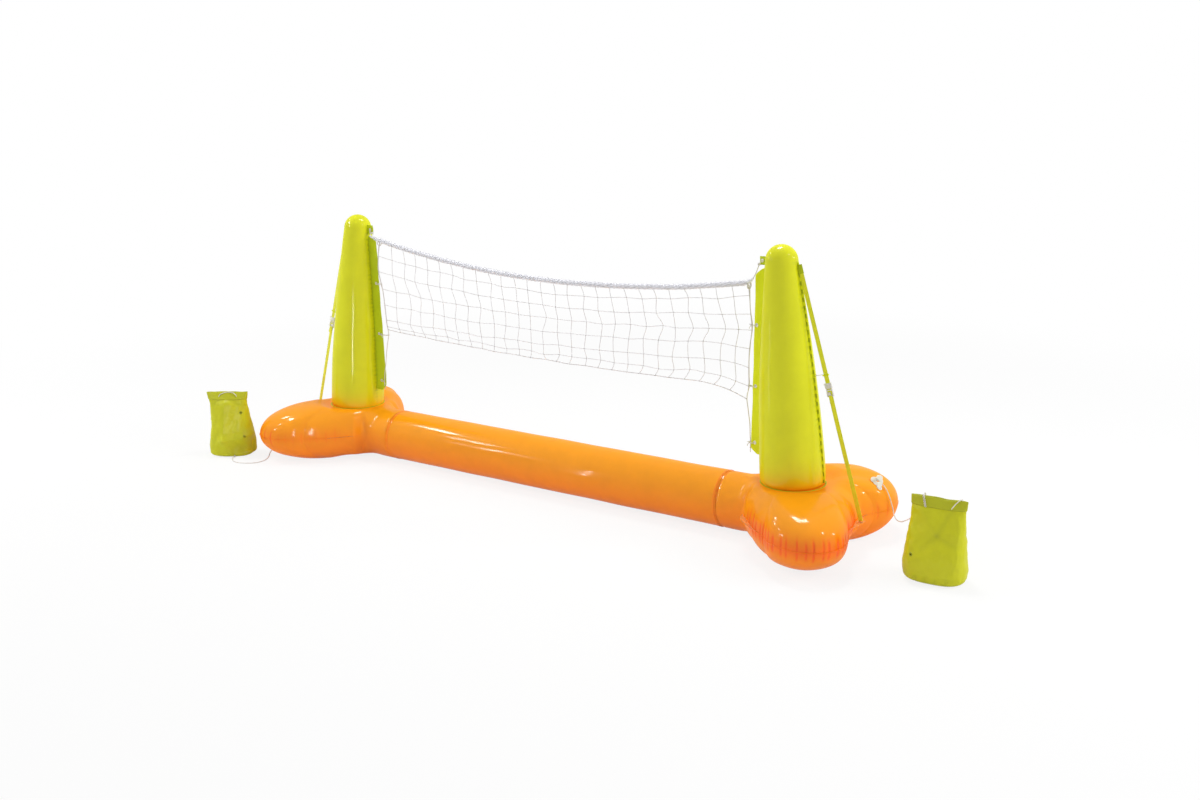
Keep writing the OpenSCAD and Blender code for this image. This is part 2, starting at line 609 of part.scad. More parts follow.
// ---------------------------------------------------------------- tethers
// A disc is welded on the back lobe, square to the skin there, and a heart-shaped
// tab stands on it by its tip and leans back.
tether_a = 31.5;                   // the disc's direction from the post
tether_rho = 262;                  // its distance from the post
tab_sink = 3;                      // depth of the tab's tip in the disc
tab_lean = 44;                     // tilt of the tab from flat
tab_turn = -62;                    // direction that the tab faces
tab_roll = 20;                     // turn of the tab in its own plane
disc_r = 12;
disc_sink = 1.4;
function skin_pt(a, r) = [post_x + r * cos(a), r * sin(a), foot_top(abs(a), r)];
disc_at = skin_pt(tether_a, tether_rho);
disc_out = unit(skin_pt(tether_a, tether_rho + 8) - skin_pt(tether_a, tether_rho - 8));
disc_up = unit(cross(disc_out,
  skin_pt(tether_a + 2, tether_rho) - skin_pt(tether_a - 2, tether_rho)));
module heart() difference() {
  union() {
    for (s = [-1, 1]) translate([-heart_lobe, s * heart_lobe]) circle(heart_lobe);
    polygon([[-heart_lobe, -2 * heart_lobe], [heart_len - heart_tip, -heart_tip],
      [heart_len - heart_tip, heart_tip], [-heart_lobe, 2 * heart_lobe]]);
    translate([heart_len - heart_tip, 0]) circle(heart_tip);
  }
  circle(tether_hole);
}
heart_lobe = tether_patch_w / 4;
heart_len = tether_patch_w * 0.57;
heart_tip = 4;
module right_tether_patch() color(cream) {
  translate(disc_at) rotate([0, acos(disc_up[2]), atan2(disc_up[1], disc_up[0])])
    translate([0, 0, -disc_sink]) cylinder(r = disc_r, h = disc_sink + patch_t);
  translate(disc_at) rotate([0, tab_lean, tab_turn]) rotate(tab_roll)
    translate([tab_sink - heart_len, 0, -tab_t / 2]) linear_extrude(tab_t) heart();
}
module left_tether_patch() left() right_tether_patch();

// Routes of the two tether cords, from the tab's hole to the bag, with X from the
// post's line outwards.
right_route = [[212.6, 143.2, 188], [217, 144.5, 187], [223, 148, 181], [229, 152, 173.5],
  [237, 151, 165.5], [245, 148, 156.5], [252, 145, 146], [258, 143.5, 133], [263, 143, 119],
  [267.5, 142, 106], [272.5, 136, 96], [280, 128, 88], [294, 111, 84], [315, 87, 90],
  [338, 61, 106], [360, 35, 124], [379, 14, 143], [398, -8, 167], [417, -30, 195],
  [429, -43, 216], [434, -50, 228]];
left_route = [[212.6, 143.2, 188], [217, 144.5, 187], [223, 148, 181], [229, 152, 173.5],
  [237, 151, 165.5], [245, 148, 156.5], [252, 145, 146], [258, 143.5, 133], [263, 143, 119],
  [268, 142, 102], [270, 139, 78], [272, 132, 52], [275, 121, 28], [281, 102, 10], [288, 72, 2],
  [298, 26, 2], [303, -30, 2], [301, -90, 2], [294, -150, 2], [275, -206, 2], [244, -244, 2],
  [217, -274, 2], [198, -309, 2], [199, -343, 2], [224, -370, 2], [265, -384, 2], [297, -377, 2],
  [317, -362, 3], [326, -350, 5]];
module tether(route) color(cream) tube(spline([for (p = route) p + [post_x, 0, 0]], 2), tether_r);
module right_tether() tether(right_route);
module left_tether() left() tether(left_route);

// ---------------------------------------------------------------- anchor bags
left_bag_out = 376;                // distance of a bag from its post's line
left_bag_front = 305;              // distance of a bag in front of that line
left_bag_at = [-post_x - left_bag_out, -left_bag_front];
left_bag_turn = 34;
right_bag_out = 485;
right_bag_front = 75;
right_bag_at = [post_x + right_bag_out, -right_bag_front];
right_bag_turn = 3;
bag_sides = 28;
bag_levels = 6;
base_round = 12;                   // rounding of a bag's lower edge
module at_left_bag() translate(concat(left_bag_at, 0)) rotate(left_bag_turn) children();
module at_right_bag() translate(concat(right_bag_at, 0)) rotate(right_bag_turn) children();

// Outline of a bag at height z, drawn in by the wall on its inside.
function bag_v(z) = fade(0, bag_h, z);
function bag_pt(a, z, in) = let (v = bag_v(z),
  e = base_round * pow(max(0, 1 - z / base_round), 2) + in)
  [(bag_w + (mouth_w - bag_w) * v - e) * cos(a), (bag_d + (mouth_d - bag_d) * v - e) * sin(a), z];
bag_zs = concat([0, base_round / 3, base_round], [for (i = [1:bag_levels])
  base_round + (bag_h - hem_h - base_round) * i / bag_levels], [bag_h]);

// Wall of a hollow made of rings: out and in are lists of rings from low to high.
module shell(out, in, n, open) {
  o = len(out);
  pts = concat([for (r = out) each r], [for (r = in) each r]);
  side = [for (i = [0:o - 2], k = [0:n - 1]) let (a = i * n + k, b = i * n + (k + 1) % n)
    each [[a, b + n, b], [a, a + n, b + n]]];
  inner = [for (i = [0:len(in) - 2], k = [0:n - 1])
    let (a = (o + i) * n + k, b = (o + i) * n + (k + 1) % n) each [[a, b, b + n], [a, b + n, a + n]]];
  e = o + len(in) - 1;
  rim = [for (k = [0:n - 1]) let (m = (k + 1) % n, a = (o - 1) * n + k, b = (o - 1) * n + m,
    c = e * n + k, d = e * n + m) each [[a, c, d], [a, d, b]]];
  foot = open ? [for (k = [0:n - 1]) let (b = (k + 1) % n, c = o * n + k, d = o * n + b)
    each [[k, b, d], [k, d, c]]]
    : [for (k = [1:n - 2]) each [[0, k, k + 1], [o * n, o * n + k + 1, o * n + k]]];
  polyhedron(pts, concat(side, inner, rim, foot), convexity = 6);
}
function bag_ring(z, in) = [for (k = [0:bag_sides - 1]) bag_pt(360 * k / bag_sides, z, in)];
module bag_shape() shell([for (z = bag_zs) bag_ring(z, 0)],
  [for (z = concat([bag_t], [for (h = bag_zs) if (h > 2 * bag_t) h])) bag_ring(z, bag_t)],
  bag_sides, false);
module hem_shape() shell([for (z = [bag_h - hem_h, bag_h]) bag_ring(z, -hem_t)],
  [for (z = [bag_h - hem_h, bag_h]) bag_ring(z, 0)], bag_sides, true);

// Loop of cord over the hem at the back, and one at the left of the base.
module tie_loop(r) rotate([90, 0, 90]) rotate_extrude() translate([r, 0]) circle(tie_r, $fn = 16);

module right_anchor_bag() color(lime) at_right_bag() bag_shape();
module left_anchor_bag() color(lime) at_left_bag() bag_shape();
module right_bag_hem() color(lime_dark) at_right_bag() hem_shape();
module left_bag_hem() color(lime_dark) at_left_bag() hem_shape();
rim_loop = 6;
base_loop = 4;
module right_bag_tie() color(cream) at_right_bag()
  translate([-0.6 * mouth_w, mouth_d * 0.8 + rim_loop / 2, bag_h - rim_loop]) tie_loop(rim_loop);
module left_bag_tie() color(cream) at_left_bag()
  translate([bag_w / 4, 1 - bag_d, base_loop + 2]) tie_loop(base_loop);

// ---------------------------------------------------------------- valves
// In a valve's frame Z points out of the skin and the flange sits at Z = 0.
valve_seat = 1.6;                  // depth of the flat pocket under a flange
pocket_gap = 0.2;                  // clearance round a valve in its pocket
ear_w = 2.4;                       // width of each ear of the hinge
ear_r = 2.2;                       // half length of each ear
tab_w = 4.6;                       // width of the plug's link between the ears
ear_gap = 0.2;                     // clearance on each side of the link
cap_t = 2;
link_t = 1.4;                      // thickness of the link between cap and hinge
hinge_z = valve_t + lip_h + hinge_gap + cap_t / 2;
module valve_pocket() {
  cylinder(r = valve_r + pocket_gap, h = valve_r + lip_h);
  translate([0, 0, -barrel_h - 1]) cylinder(r = valve_bore + valve_wall + pocket_gap, h = barrel_h + 2);
}
module valve_body() color(clear) difference() {
  union() {
    cylinder(r = valve_r, h = valve_t);
    translate([0, 0, -barrel_h]) cylinder(r = valve_bore + valve_wall, h = barrel_h + valve_t + lip_h);
    for (y = [tab_w / 2 + ear_gap, -tab_w / 2 - ear_gap - ear_w]) translate([hinge_x - ear_r, y, 0])
      cube([2 * ear_r, ear_w, hinge_z + ear_r]);
  }
  translate([0, 0, -barrel_h - 1]) cylinder(r = valve_bore, h = barrel_h + valve_t + lip_h + 2);
  translate([hinge_x, -valve_r, hinge_z]) rotate([-90, 0, 0])
    cylinder(r = hinge_r + hinge_gap, h = 2 * valve_r);
}
module valve_plug() color(clear) {
  translate([0, 0, hinge_z - cap_t / 2]) cylinder(r = valve_bore + valve_wall, h = cap_t);
  translate([0, 0, hinge_z - cap_t / 2 - pin_len])
    cylinder(r1 = pin_tip, r2 = valve_bore - pocket_gap, h = pin_len);
  translate([valve_bore, -tab_w / 2, hinge_z - link_t / 2]) cube([hinge_x - valve_bore, tab_w, link_t]);
  translate([hinge_x, -tab_w / 2 - ear_gap - ear_w, hinge_z]) rotate([-90, 0, 0])
    cylinder(r = hinge_r, h = tab_w + 2 * ear_gap + 2 * ear_w);
}
module bar_valve() at_bar_valve() valve_body();
module bar_valve_plug() at_bar_valve() valve_plug();
module right_post_valve() at_post_valve() valve_body();
module right_post_valve_plug() at_post_valve() valve_plug();
module left_post_valve() left() right_post_valve();
module left_post_valve_plug() left() right_post_valve_plug();

base_bar();
bar_weld_bands();
left_foot();
right_foot();
left_foot_flange();
right_foot_flange();
left_post();
right_post();
left_post_ring();
right_post_ring();
left_post_fin();
right_post_fin();
left_net_flap();
right_net_flap();
left_net_tab();
right_net_tab();
left_eyelets();
right_eyelets();
net_mesh();
top_rope();
left_rope_tie();
right_rope_tie();
left_side_lace();
right_side_lace();
left_net_ties();
right_net_ties();
left_guy_strap();
right_guy_strap();
left_buckle();
right_buckle();
left_strap_tail();
right_strap_tail();
left_keeper();
right_keeper();
left_strap_post_patch();
right_strap_post_patch();
left_strap_foot_patch();
right_strap_foot_patch();
left_tether_patch();
right_tether_patch();
left_tether();
right_tether();
left_anchor_bag();
right_anchor_bag();
left_bag_hem();
right_bag_hem();
left_bag_tie();
right_bag_tie();
bar_valve();
bar_valve_plug();
left_post_valve();
left_post_valve_plug();
right_post_valve();
right_post_valve_plug();
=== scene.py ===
"""Dressed model of a floating volleyball net: an air-filled bar with a lobed foot and
a tapered post at each end, a net between the posts, guy straps and two anchor bags."""

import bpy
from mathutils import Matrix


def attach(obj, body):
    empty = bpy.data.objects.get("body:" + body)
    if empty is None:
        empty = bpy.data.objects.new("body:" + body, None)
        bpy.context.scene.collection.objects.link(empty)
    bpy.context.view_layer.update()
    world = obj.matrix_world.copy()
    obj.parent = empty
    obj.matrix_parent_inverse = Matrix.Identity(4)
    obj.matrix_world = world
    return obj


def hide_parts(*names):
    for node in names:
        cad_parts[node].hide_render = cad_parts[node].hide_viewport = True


bl_info = {
    "name": "Floating volleyball net",
    "version": (1, 0, 0),
    "blender": (4, 5, 0),
    "location": "View3D > Sidebar > Net set",
    "description": "Builds the vinyl skins, net, cords, straps and bags of a floating net",
    "category": "Add Mesh",
}

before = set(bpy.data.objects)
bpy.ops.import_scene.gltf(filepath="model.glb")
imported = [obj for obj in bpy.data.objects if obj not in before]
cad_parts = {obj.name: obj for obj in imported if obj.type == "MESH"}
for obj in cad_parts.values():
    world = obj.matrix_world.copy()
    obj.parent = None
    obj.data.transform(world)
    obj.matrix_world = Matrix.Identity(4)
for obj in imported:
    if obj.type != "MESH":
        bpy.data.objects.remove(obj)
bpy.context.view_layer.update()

import math

import bmesh
import bpy
import numpy as np
from mathutils import Matrix, Vector

ROOT = "frame"

# ------------------------------------------------------------------ shared sizes
# Sizes shared with the solids, in millimetres and degrees, unless a line says otherwise.
BAR_R, BAR_Z, BAR_HALF = 91.0, 90.5, 700.0
WELD_W, WELD_T = 9.0, 0.8
POST_X, LOBE_X, LOBE_Y, LOBE_R = 921.0, 140.0, 186.0, 130.0
VALLEY_R, CORNER_R, SEAM_Z, PUFF = 208.0, 166.0, 98.0, 104.0
SEAT_Z, SEAT_R, UNDER_Z = 186.0, 104.0, 12.0
FLANGE_T, FLANGE_W, FLANGE_WEB = 1.0, 4.0, 22.0
VALLEY_DIP, CORNER_DIP, SEAT_BLEND, PUFF_POWER = 8.0, 10.0, 60.0, 4.0
CORNER_A, STUB_A = 125.0, 135.0
END_DIST = POST_X - BAR_HALF
END_A = 180 - math.degrees(math.atan2(BAR_R, END_DIST))
LOBE_A = math.degrees(math.atan2(LOBE_Y, LOBE_X))
LOBE_LO, LOBE_HI = LOBE_A - 30, LOBE_A + 30

LEAN = math.radians(4)
POST_LOW, POST_HIGH, POST_LEN, POST_EDGE, POST_CURVE = 100.0, 49.0, 677.0, 22.0, 1.6
EDGE_LOW, FIN_W, FIN_T = 8.0, 9.0, 1.2
# the posts' own sag inwards, and how much narrower their fins are, with painted-shade dashes of this length
POST_BEND, FIN_TRIM, FIN_DASH = 9.0, 3.0, 24.0

FLAP_X, FLAP_LOW, FLAP_HIGH, FLAP_CUT, FLAP_T = 775.0, 254.0, 833.95, 22.0, 1.2
TAB_LOW, TAB_HIGH, TAB_LEN = 840.95, 873.95, 28.0
EYELET_X, EYELET_ZS = 787.0, (290.0, 470.0, 659.95)
EYELET_IN = {"right": (2.6, 10.0, 2.6), "left": (2.6, 36.0, 13.0)}
EYELET_HOLE, EYELET_BARREL, EYELET_RIM, EYELET_T = 3.2, 4.2, 5.4, 0.9

NET_HALF, NET_COLS, NET_ROWS = 757.0, 27, 7
ROPE_LOW, ROPE_SHIFT, ROPE_RISE, ROPE_R, ROPE_END = 733.95, 90.0, 54.0, 9.5, 763.0
HEM_LOW, HEM_SHIFT, HEM_RISE, CORNER_DROP = 457.95, 250.0, 32.0, 40.0
LACE_IN, BAG_SIDES = 2.6, 240

STRAP_W, STRAP_T, STRAP_HIGH, STRAP_FOOT_X = 14.0, 1.2, 840.95, 1146.0
PAD_Z, STRAP_OVER, STRAP_TWIST = 99.7, 12.0, 0.035
# the way of a buckle along its strap: its lean, and its ends below and above the buckle's place
SLIDE_TILT, SLIDE_LOW, SLIDE_HIGH = math.radians(15.848), 85.0, 45.0
BUCKLE_Z, BUCKLE_LEN, BUCKLE_FACE, BUCKLE_RAIL = 490.0, 42.0, 1.8, 4.0
PASS_W, PASS_T = 14.6, 1.8
BUCKLE_W, BUCKLE_T = PASS_W + 2 * BUCKLE_RAIL, PASS_T + 2 * BUCKLE_FACE
KEEPER_Z, KEEPER_H, KEEPER_W, TAIL_LEN, PATCH_LEN = 533.29, 4.0, 20.6, 24.0, 28.0
FOOT_PATCH_LEN, PATCH_T = 26.0, 1.2

BAG_H, HEM_H = 243.0, 26.0
LEFT_BAG_AT, LEFT_BAG_TURN = (-1297.0, -305.0), 34.0
RIGHT_BAG_AT, RIGHT_BAG_TURN = (1406.0, -75.0), 3.0
TETHER_A, TETHER_RHO, DISC_R = 31.5, 262.0, 12.0
TAB_LEAN, TAB_TURN, TAB_ROLL, TAB_T = 44.0, -62.0, 20.0, 2.6
HEART_W, HEART_HOLE = 38.0, 2.5

RIGHT_ROUTE = [
    (1133.6, 143.2, 188), (1138, 144.5, 187), (1144, 148, 181), (1150, 152, 173.5),
    (1158, 151, 165.5), (1166, 148, 156.5), (1173, 145, 146), (1179, 143.5, 133),
    (1184, 143, 119), (1188.5, 142, 106), (1193.5, 136, 96), (1201, 128, 88),
    (1215, 111, 84), (1236, 87, 90), (1259, 61, 106), (1281, 35, 124), (1300, 14, 143),
    (1319, -8, 167), (1338, -30, 195), (1350, -43, 216), (1355, -50, 228),
]
LEFT_ROUTE = [(-x, y, z) for x, y, z in RIGHT_ROUTE[:9]] + [
    (-1189, 142, 102), (-1191, 139, 78), (-1193, 132, 52), (-1196, 121, 28),
    (-1202, 102, 10), (-1209, 72, 2), (-1219, 26, 2), (-1224, -30, 2), (-1222, -90, 2),
    (-1215, -150, 2), (-1196, -206, 2), (-1165, -244, 2), (-1138, -274, 2),
    (-1119, -309, 2), (-1120, -343, 2), (-1145, -370, 2), (-1186, -384, 2),
    (-1218, -377, 2), (-1238, -362, 3), (-1247, -350, 5),
]
SIDES = {"left": -1, "right": 1}


# ------------------------------------------------------------------ settings
def colour_setting(name, text, value):
    return bpy.props.FloatVectorProperty(
        name=name, description=text, subtype="COLOR", size=4, min=0, max=1,
        default=(*value, 1.0),
    )


def length_setting(name, text, value, low, high):
    return bpy.props.FloatProperty(
        name=name, description=text, default=value / 1000, min=low / 1000,
        max=high / 1000, unit="LENGTH", precision=4,
    )


def share_setting(name, text, value, high=1.0):
    return bpy.props.FloatProperty(
        name=name, description=text, default=value, min=0.0, max=high, subtype="FACTOR",
    )


class NetColours(bpy.types.PropertyGroup):
    """Colours of the finishes"""

    orange: colour_setting("Orange", "Vinyl of the bar and feet on top", (1.0, 0.36, 0.006))
    # painted shade: the deep orange that the bar and feet take where they face down and in their pleats and
    # seams; their welds take it as their own darker tone
    orange_shade_and_weld: colour_setting("Deep orange", "The same vinyl where it turns down", (1.0, 0.140, 0.008))
    lime: colour_setting("Lime", "Vinyl of the posts", (0.73, 0.74, 0.010))
    # painted shade: the olive lime that the posts and sheets take in their folds, pleats and fin dashes;
    # the post welds and strap patches take it as their own darker tone
    lime_shade_and_weld: colour_setting("Olive lime", "Vinyl of the posts in its folds", (0.40, 0.47, 0.018))
    sheet: colour_setting("Flap lime", "Flat vinyl of fins, flaps and tabs", (0.58, 0.68, 0.014))
    # painted light: the lighter lime that fins, the right flap and the keeper tabs take where they are
    # marked to glow
    sheet_painted_light: colour_setting("Lit flap lime", "Flat vinyl that light shines through", (0.88, 0.92, 0.012))
    bag: colour_setting("Bag lime", "Vinyl of the anchor bags", (0.60, 0.60, 0.014))
    # painted shade: the olive that the bags take in their creases, inside, under them and round their drain
    # holes
    bag_olive_shade: colour_setting("Bag olive", "Vinyl of the anchor bags in their folds", (0.33, 0.36, 0.020))
    strap: colour_setting("Strap lime", "Woven guy straps", (0.95, 0.96, 0.012))
    twine: colour_setting("Twine", "Twine of the net", (0.80, 0.77, 0.78))
    cord: colour_setting("Cord", "White cords, laces and ties", (0.82, 0.78, 0.72))
    rope: colour_setting("Rope", "Top rope of the net", (0.86, 0.86, 0.91))
    plastic: colour_setting("White plastic", "Buckles, eyelets and tabs", (0.84, 0.82, 0.76))
    clear: colour_setting("Clear vinyl", "Webs, patches and valves", (0.93, 0.42, 0.14))


class NetSkins(bpy.types.PropertyGroup):
    """Pleats and waves of the air-filled skins"""

    pleat_depth: length_setting("Pleat depth", "Depth of the pleats by a seam", 2.9, 0, 5)
    pleat_gap: length_setting("Pleat spacing", "Distance between two pleats", 25, 8, 60)
    wave: length_setting("Skin wave", "Slow waves of the air-filled skins", 0.7, 0, 3)
    neck: length_setting("Weld neck", "Depth that a weld draws a skin in", 2.2, 0, 5)
    ripple: length_setting("Sheet ripple", "Ripple of flat vinyl at its free edges", 2.2, 0, 6)


class NetCords(bpy.types.PropertyGroup):
    """Sizes of the cords and of the net's twine"""

    twine: length_setting("Twine", "Radius of the net's twine", 0.95, 0.4, 2)
    lace: length_setting("Lace", "Radius of laces and ties", 1.5, 0.6, 2.5)
    tether: length_setting("Tether", "Radius of the tether cords", 1.5, 1, 2)
    strand: length_setting("Rope strand", "Radius of each strand of the top rope", 5.2, 3, 6)
    lay: length_setting("Rope lay", "Length of one turn of the top rope's strands", 50, 15, 80)
    sway: length_setting("Knot sway", "How far the net's knots hang out of line", 3.0, 0, 10)


class NetStage(bpy.types.PropertyGroup):
    """Floor and lamps of the stage"""

    ambient: share_setting("Ambient", "Strength of the light from all round", 0.50, 2.0)
    lamps: share_setting("Lamps", "Strength of the lamps", 1.0, 3.0)
    floor: colour_setting("Floor", "Colour of the floor", (0.93, 0.93, 0.93))


SETTINGS = (
    ("net_colours", NetColours), ("net_skins", NetSkins), ("net_cords", NetCords),
    ("net_stage", NetStage),
)


def mm(value):
    """A length setting in millimetres."""
    return value * 1000


# ------------------------------------------------------------------ shape tools
class Shape:
    """Points, faces and face-corner coordinates of a piece, in millimetres."""

    def __init__(self):
        self.points, self.faces, self.corners = [], [], []
        self.count = 0

    def add(self, points, faces, corners=None):
        """Adds points, and faces that count from the first of them."""
        points = np.asarray(points, float)
        start = self.count
        self.points.append(points)
        for i, face in enumerate(faces):
            self.faces.append([int(v) + start for v in face])
            self.corners.extend(corners[i] if corners is not None else [(0.0, 0.0)] * len(face))
        self.count += len(points)
        return self

    def cord(self, points, radius, sides=8):
        return self.add(*tube(points, radius, sides))

    def fan(self, centre, ring):
        """Closes a ring of the points with triangles to a new one."""
        for a, b in zip(ring, [*ring[1:], ring[0]]):
            self.faces.append([self.count, a, b])
            self.corners.extend([(0.0, 0.0)] * 3)
        self.points.append(np.reshape(centre, (1, 3)))
        self.count += 1


def unit(v):
    v = np.asarray(v, float)
    return v / np.maximum(np.linalg.norm(v, axis=-1, keepdims=True), 1e-12)


def ease(a, b, t):
    s = np.clip((np.asarray(t, float) - a) / (b - a), 0, 1)
    return s * s * (3 - 2 * s)


def xyz(x, y, z):
    """Points from their parts, each a number or an array."""
    return np.stack(np.broadcast_arrays(x, y, z), -1)


def bell(distance, width):
    return np.exp(-(distance / width) ** 2)


def circle(sides):
    """Angles of evenly spaced points round a circle."""
    return 2 * np.pi * np.arange(sides) / sides


def angle_gap(angles, at):
    return np.abs((angles - at + np.pi) % (2 * np.pi) - np.pi)


def run_lengths(points):
    """Length of a run up to each of its points."""
    return np.concatenate([[0], np.cumsum(np.linalg.norm(np.diff(points, axis=0), axis=1))])


def spline(points, steps):
    """Points of a smooth run through the chosen points, as in the solids."""
    p = [np.array(q, float) for q in points]
    last = len(p) - 1
    out = []
    for i in range(last):
        a, b, c, d = p[max(i - 1, 0)], p[i], p[i + 1], p[min(i + 2, last)]
        for k in range(steps):
            t = k / steps
            out.append((2 * b + (c - a) * t + (2 * a - 5 * b + 4 * c - d) * t * t
                        + (3 * b - a - 3 * c + d) * t ** 3) / 2)
    return np.array(out + [p[last]])


def cross_frames(points):
    """Two unit vectors square to a run at each of its points, without twist."""
    run = unit(np.gradient(points, axis=0))
    start = np.array([0.0, 0, 1]) if abs(run[0][2]) < 0.8 else np.array([0.0, 1, 0])
    u = unit(np.cross(run[0], start))
    us = []
    for d in run:
        u = unit(u - d * np.dot(u, d))
        us.append(u)
    us = np.array(us)
    return us, np.cross(run, us)


def tube(points, radius, sides=8):
    """Closed round tube along points; radius is a number or one for each point."""
    p = np.asarray(points, float)
    n = len(p)
    r = np.broadcast_to(np.asarray(radius, float), (n,))
    u, v = cross_frames(p)
    run = unit(np.gradient(p, axis=0))
    turn = circle(sides)[None, :, None]
    ring = np.cos(turn) * u[:, None, :] + np.sin(turn) * v[:, None, :]
    body = p[:, None, :] + r[:, None, None] * ring
    cap0 = p[0] - run[0] * r[0] * 0.5 + 0.62 * r[0] * ring[0]
    cap1 = p[-1] + run[-1] * r[-1] * 0.5 + 0.62 * r[-1] * ring[-1]
    rings = np.concatenate([cap0[None], body, cap1[None]])
    ends = [p[0] - run[0] * r[0] * 0.7], [p[-1] + run[-1] * r[-1] * 0.7]
    points = np.concatenate([rings.reshape(-1, 3), *ends])
    along = run_lengths(rings.mean(1)) / 1000
    faces = grid_faces(n + 2, sides, wrap=True)
    corners = [[(k / sides, low), ((k + 1) / sides, low), ((k + 1) / sides, high), (k / sides, high)]
               for low, high in zip(along, along[1:]) for k in range(sides)]
    last = (n + 1) * sides
    for k in range(sides):
        a, b = k, (k + 1) % sides
        faces += [(len(points) - 2, b, a), (len(points) - 1, last + a, last + b)]
        corners += [[(0.5, 0.0)] * 3, [(0.5, along[-1])] * 3]
    return points, faces, corners


def grid_faces(rows, cols, wrap=False):
    """Faces of a grid of points laid row by row; wrap joins the last column to the first."""
    faces = []
    for row in range(0, (rows - 1) * cols, cols):
        for k in range(cols if wrap else cols - 1):
            a, b = row + k, row + (k + 1) % cols
            faces.append((a, b, b + cols, a + cols))
    return faces


def lathe(profile, sides):
    """Round body from (radius, height) pairs, open where its ends have a radius."""
    p, turn = np.asarray(profile, float), circle(sides)
    r, z = p[:, :1], p[:, 1:]
    pts = xyz(r * np.cos(turn), r * np.sin(turn), z)
    return pts.reshape(-1, 3), grid_faces(len(p), sides, wrap=True)


def rounded_box(size, bevel, segments=3):
    """Box round the origin with rounded edges."""
    bm = bmesh.new()
    bmesh.ops.create_cube(bm, size=1.0)
    bmesh.ops.scale(bm, vec=Vector(size), verts=bm.verts)
    bmesh.ops.bevel(bm, geom=bm.edges[:] + bm.verts[:], offset=bevel, segments=segments,
                    profile=0.5, affect="EDGES")
    bm.verts.index_update()
    points = [tuple(v.co) for v in bm.verts]
    faces = [tuple(v.index for v in f.verts) for f in bm.faces]
    bm.free()
    return np.array(points), faces


def placed(points, origin, x=(1, 0, 0), y=(0, 1, 0), z=(0, 0, 1)):
    """Points of a local frame, moved to origin with these axes."""
    p, x, y, z = (np.asarray(v, float) for v in (points, x, y, z))
    return np.asarray(origin, float) + p[:, :1] * x + p[:, 1:2] * y + p[:, 2:] * z


def mirrored(points, side):
    p = np.array(points, float)
    p[:, 0] *= side
    return p


def waves(points, length, seed, count=7):
    """Slow waves between -1 and 1 over space, the same in each run."""
    rng = np.random.default_rng(seed)
    p = np.asarray(points, float)
    total = np.zeros(p.shape[:-1])
    for _ in range(count):
        d = unit(rng.normal(size=3)) * 2 * np.pi / (length * rng.uniform(0.7, 1.6))
        total = total + np.sin(p @ d + rng.uniform(0, 6.28))
    return total / math.sqrt(count) / 1.2


def line_waves(along, length, seed, count=7):
    """Slow waves over the places along a line."""
    return waves(xyz(along, 0, 0), length, seed, count)


def piece(name, shape, slot, body=ROOT, replaces=(), material=None, weld=0.0, closed=True,
          marks=None, thick=0.0):
    """Makes a piece from a Shape, which rides on a body and takes a slot's finish. Marks are
    numbers for its points, which the finish reads; one number stands for all the points."""
    mesh = bpy.data.meshes.new(name)
    mesh.from_pydata((np.concatenate(shape.points) / 1000).tolist(), [], shape.faces)
    layer = mesh.uv_layers.new(name="run")
    layer.uv.foreach_set("vector", np.asarray(shape.corners, np.float32).ravel())
    for key, values in (marks or {}).items():
        attribute = mesh.attributes.new(key, "FLOAT", "POINT")
        values = np.asarray(values, np.float32).ravel()
        attribute.data.foreach_set("value", np.resize(values, shape.count))
    bm = bmesh.new()
    bm.from_mesh(mesh)
    if weld:
        bmesh.ops.remove_doubles(bm, verts=bm.verts[:], dist=weld / 1000)
        bmesh.ops.dissolve_degenerate(bm, dist=1e-7, edges=bm.edges[:])
    if closed:
        bmesh.ops.recalc_face_normals(bm, faces=bm.faces[:])
    bm.to_mesh(mesh)
    bm.free()
    mesh.polygons.foreach_set("use_smooth", [True] * len(mesh.polygons))
    mesh.materials.append(finish(material or slot))
    ob = bpy.data.objects.new(name, mesh)
    bpy.context.scene.collection.objects.link(ob)
    if thick:
        sheet = ob.modifiers.new("thickness", "SOLIDIFY")
        sheet.thickness = thick / 1000
        sheet.offset = 0.0
    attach(ob, body)
    if replaces:
        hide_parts(*replaces)
    return ob


# ------------------------------------------------------------------ finishes
FULL_TURN = 6.2832


def set_inputs(tree, node, inputs):
    """Links each socket given to the node's input of that name, and sets each plain value."""
    for key, value in inputs.items():
        if isinstance(value, bpy.types.NodeSocket):
            tree.links.new(value, node.inputs[key])
        else:
            node.inputs[key].default_value = value


def add_node(tree, kind, inputs=None, **settings):
    node = tree.nodes.new("ShaderNode" + kind)
    for key, value in settings.items():
        setattr(node, key, value)
    set_inputs(tree, node, inputs or {})
    return node


def math_node(tree, operation, *values, clamp=False):
    node = add_node(tree, "Math", dict(enumerate(values)), operation=operation, use_clamp=clamp)
    return node.outputs[0]


def mix_colours(tree, share, a, b):
    return add_node(tree, "Mix", {0: share, 6: a, 7: b}, data_type="RGBA").outputs[2]


def ranged(tree, value, low, high, to_low=0.0, to_high=1.0, **settings):
    """A value moved from the range of low to high into another one."""
    inputs = {"Value": value, "From Min": low, "From Max": high, "To Min": to_low, "To Max": to_high}
    return add_node(tree, "MapRange", inputs, **settings).outputs[0]


def noise(tree, place, scale, detail, rough=0.5, bend=0.0):
    inputs = {"Vector": place, "Scale": scale, "Detail": detail, "Roughness": rough, "Distortion": bend}
    return add_node(tree, "TexNoise", inputs).outputs["Fac"]


def object_place(tree):
    return add_node(tree, "TexCoord").outputs["Object"]


def piece_run(tree):
    """Place round or across a cord or strap, and along it."""
    run = add_node(tree, "UVMap", uv_map="run").outputs[0]
    return add_node(tree, "SeparateXYZ", {0: run}).outputs[:2]


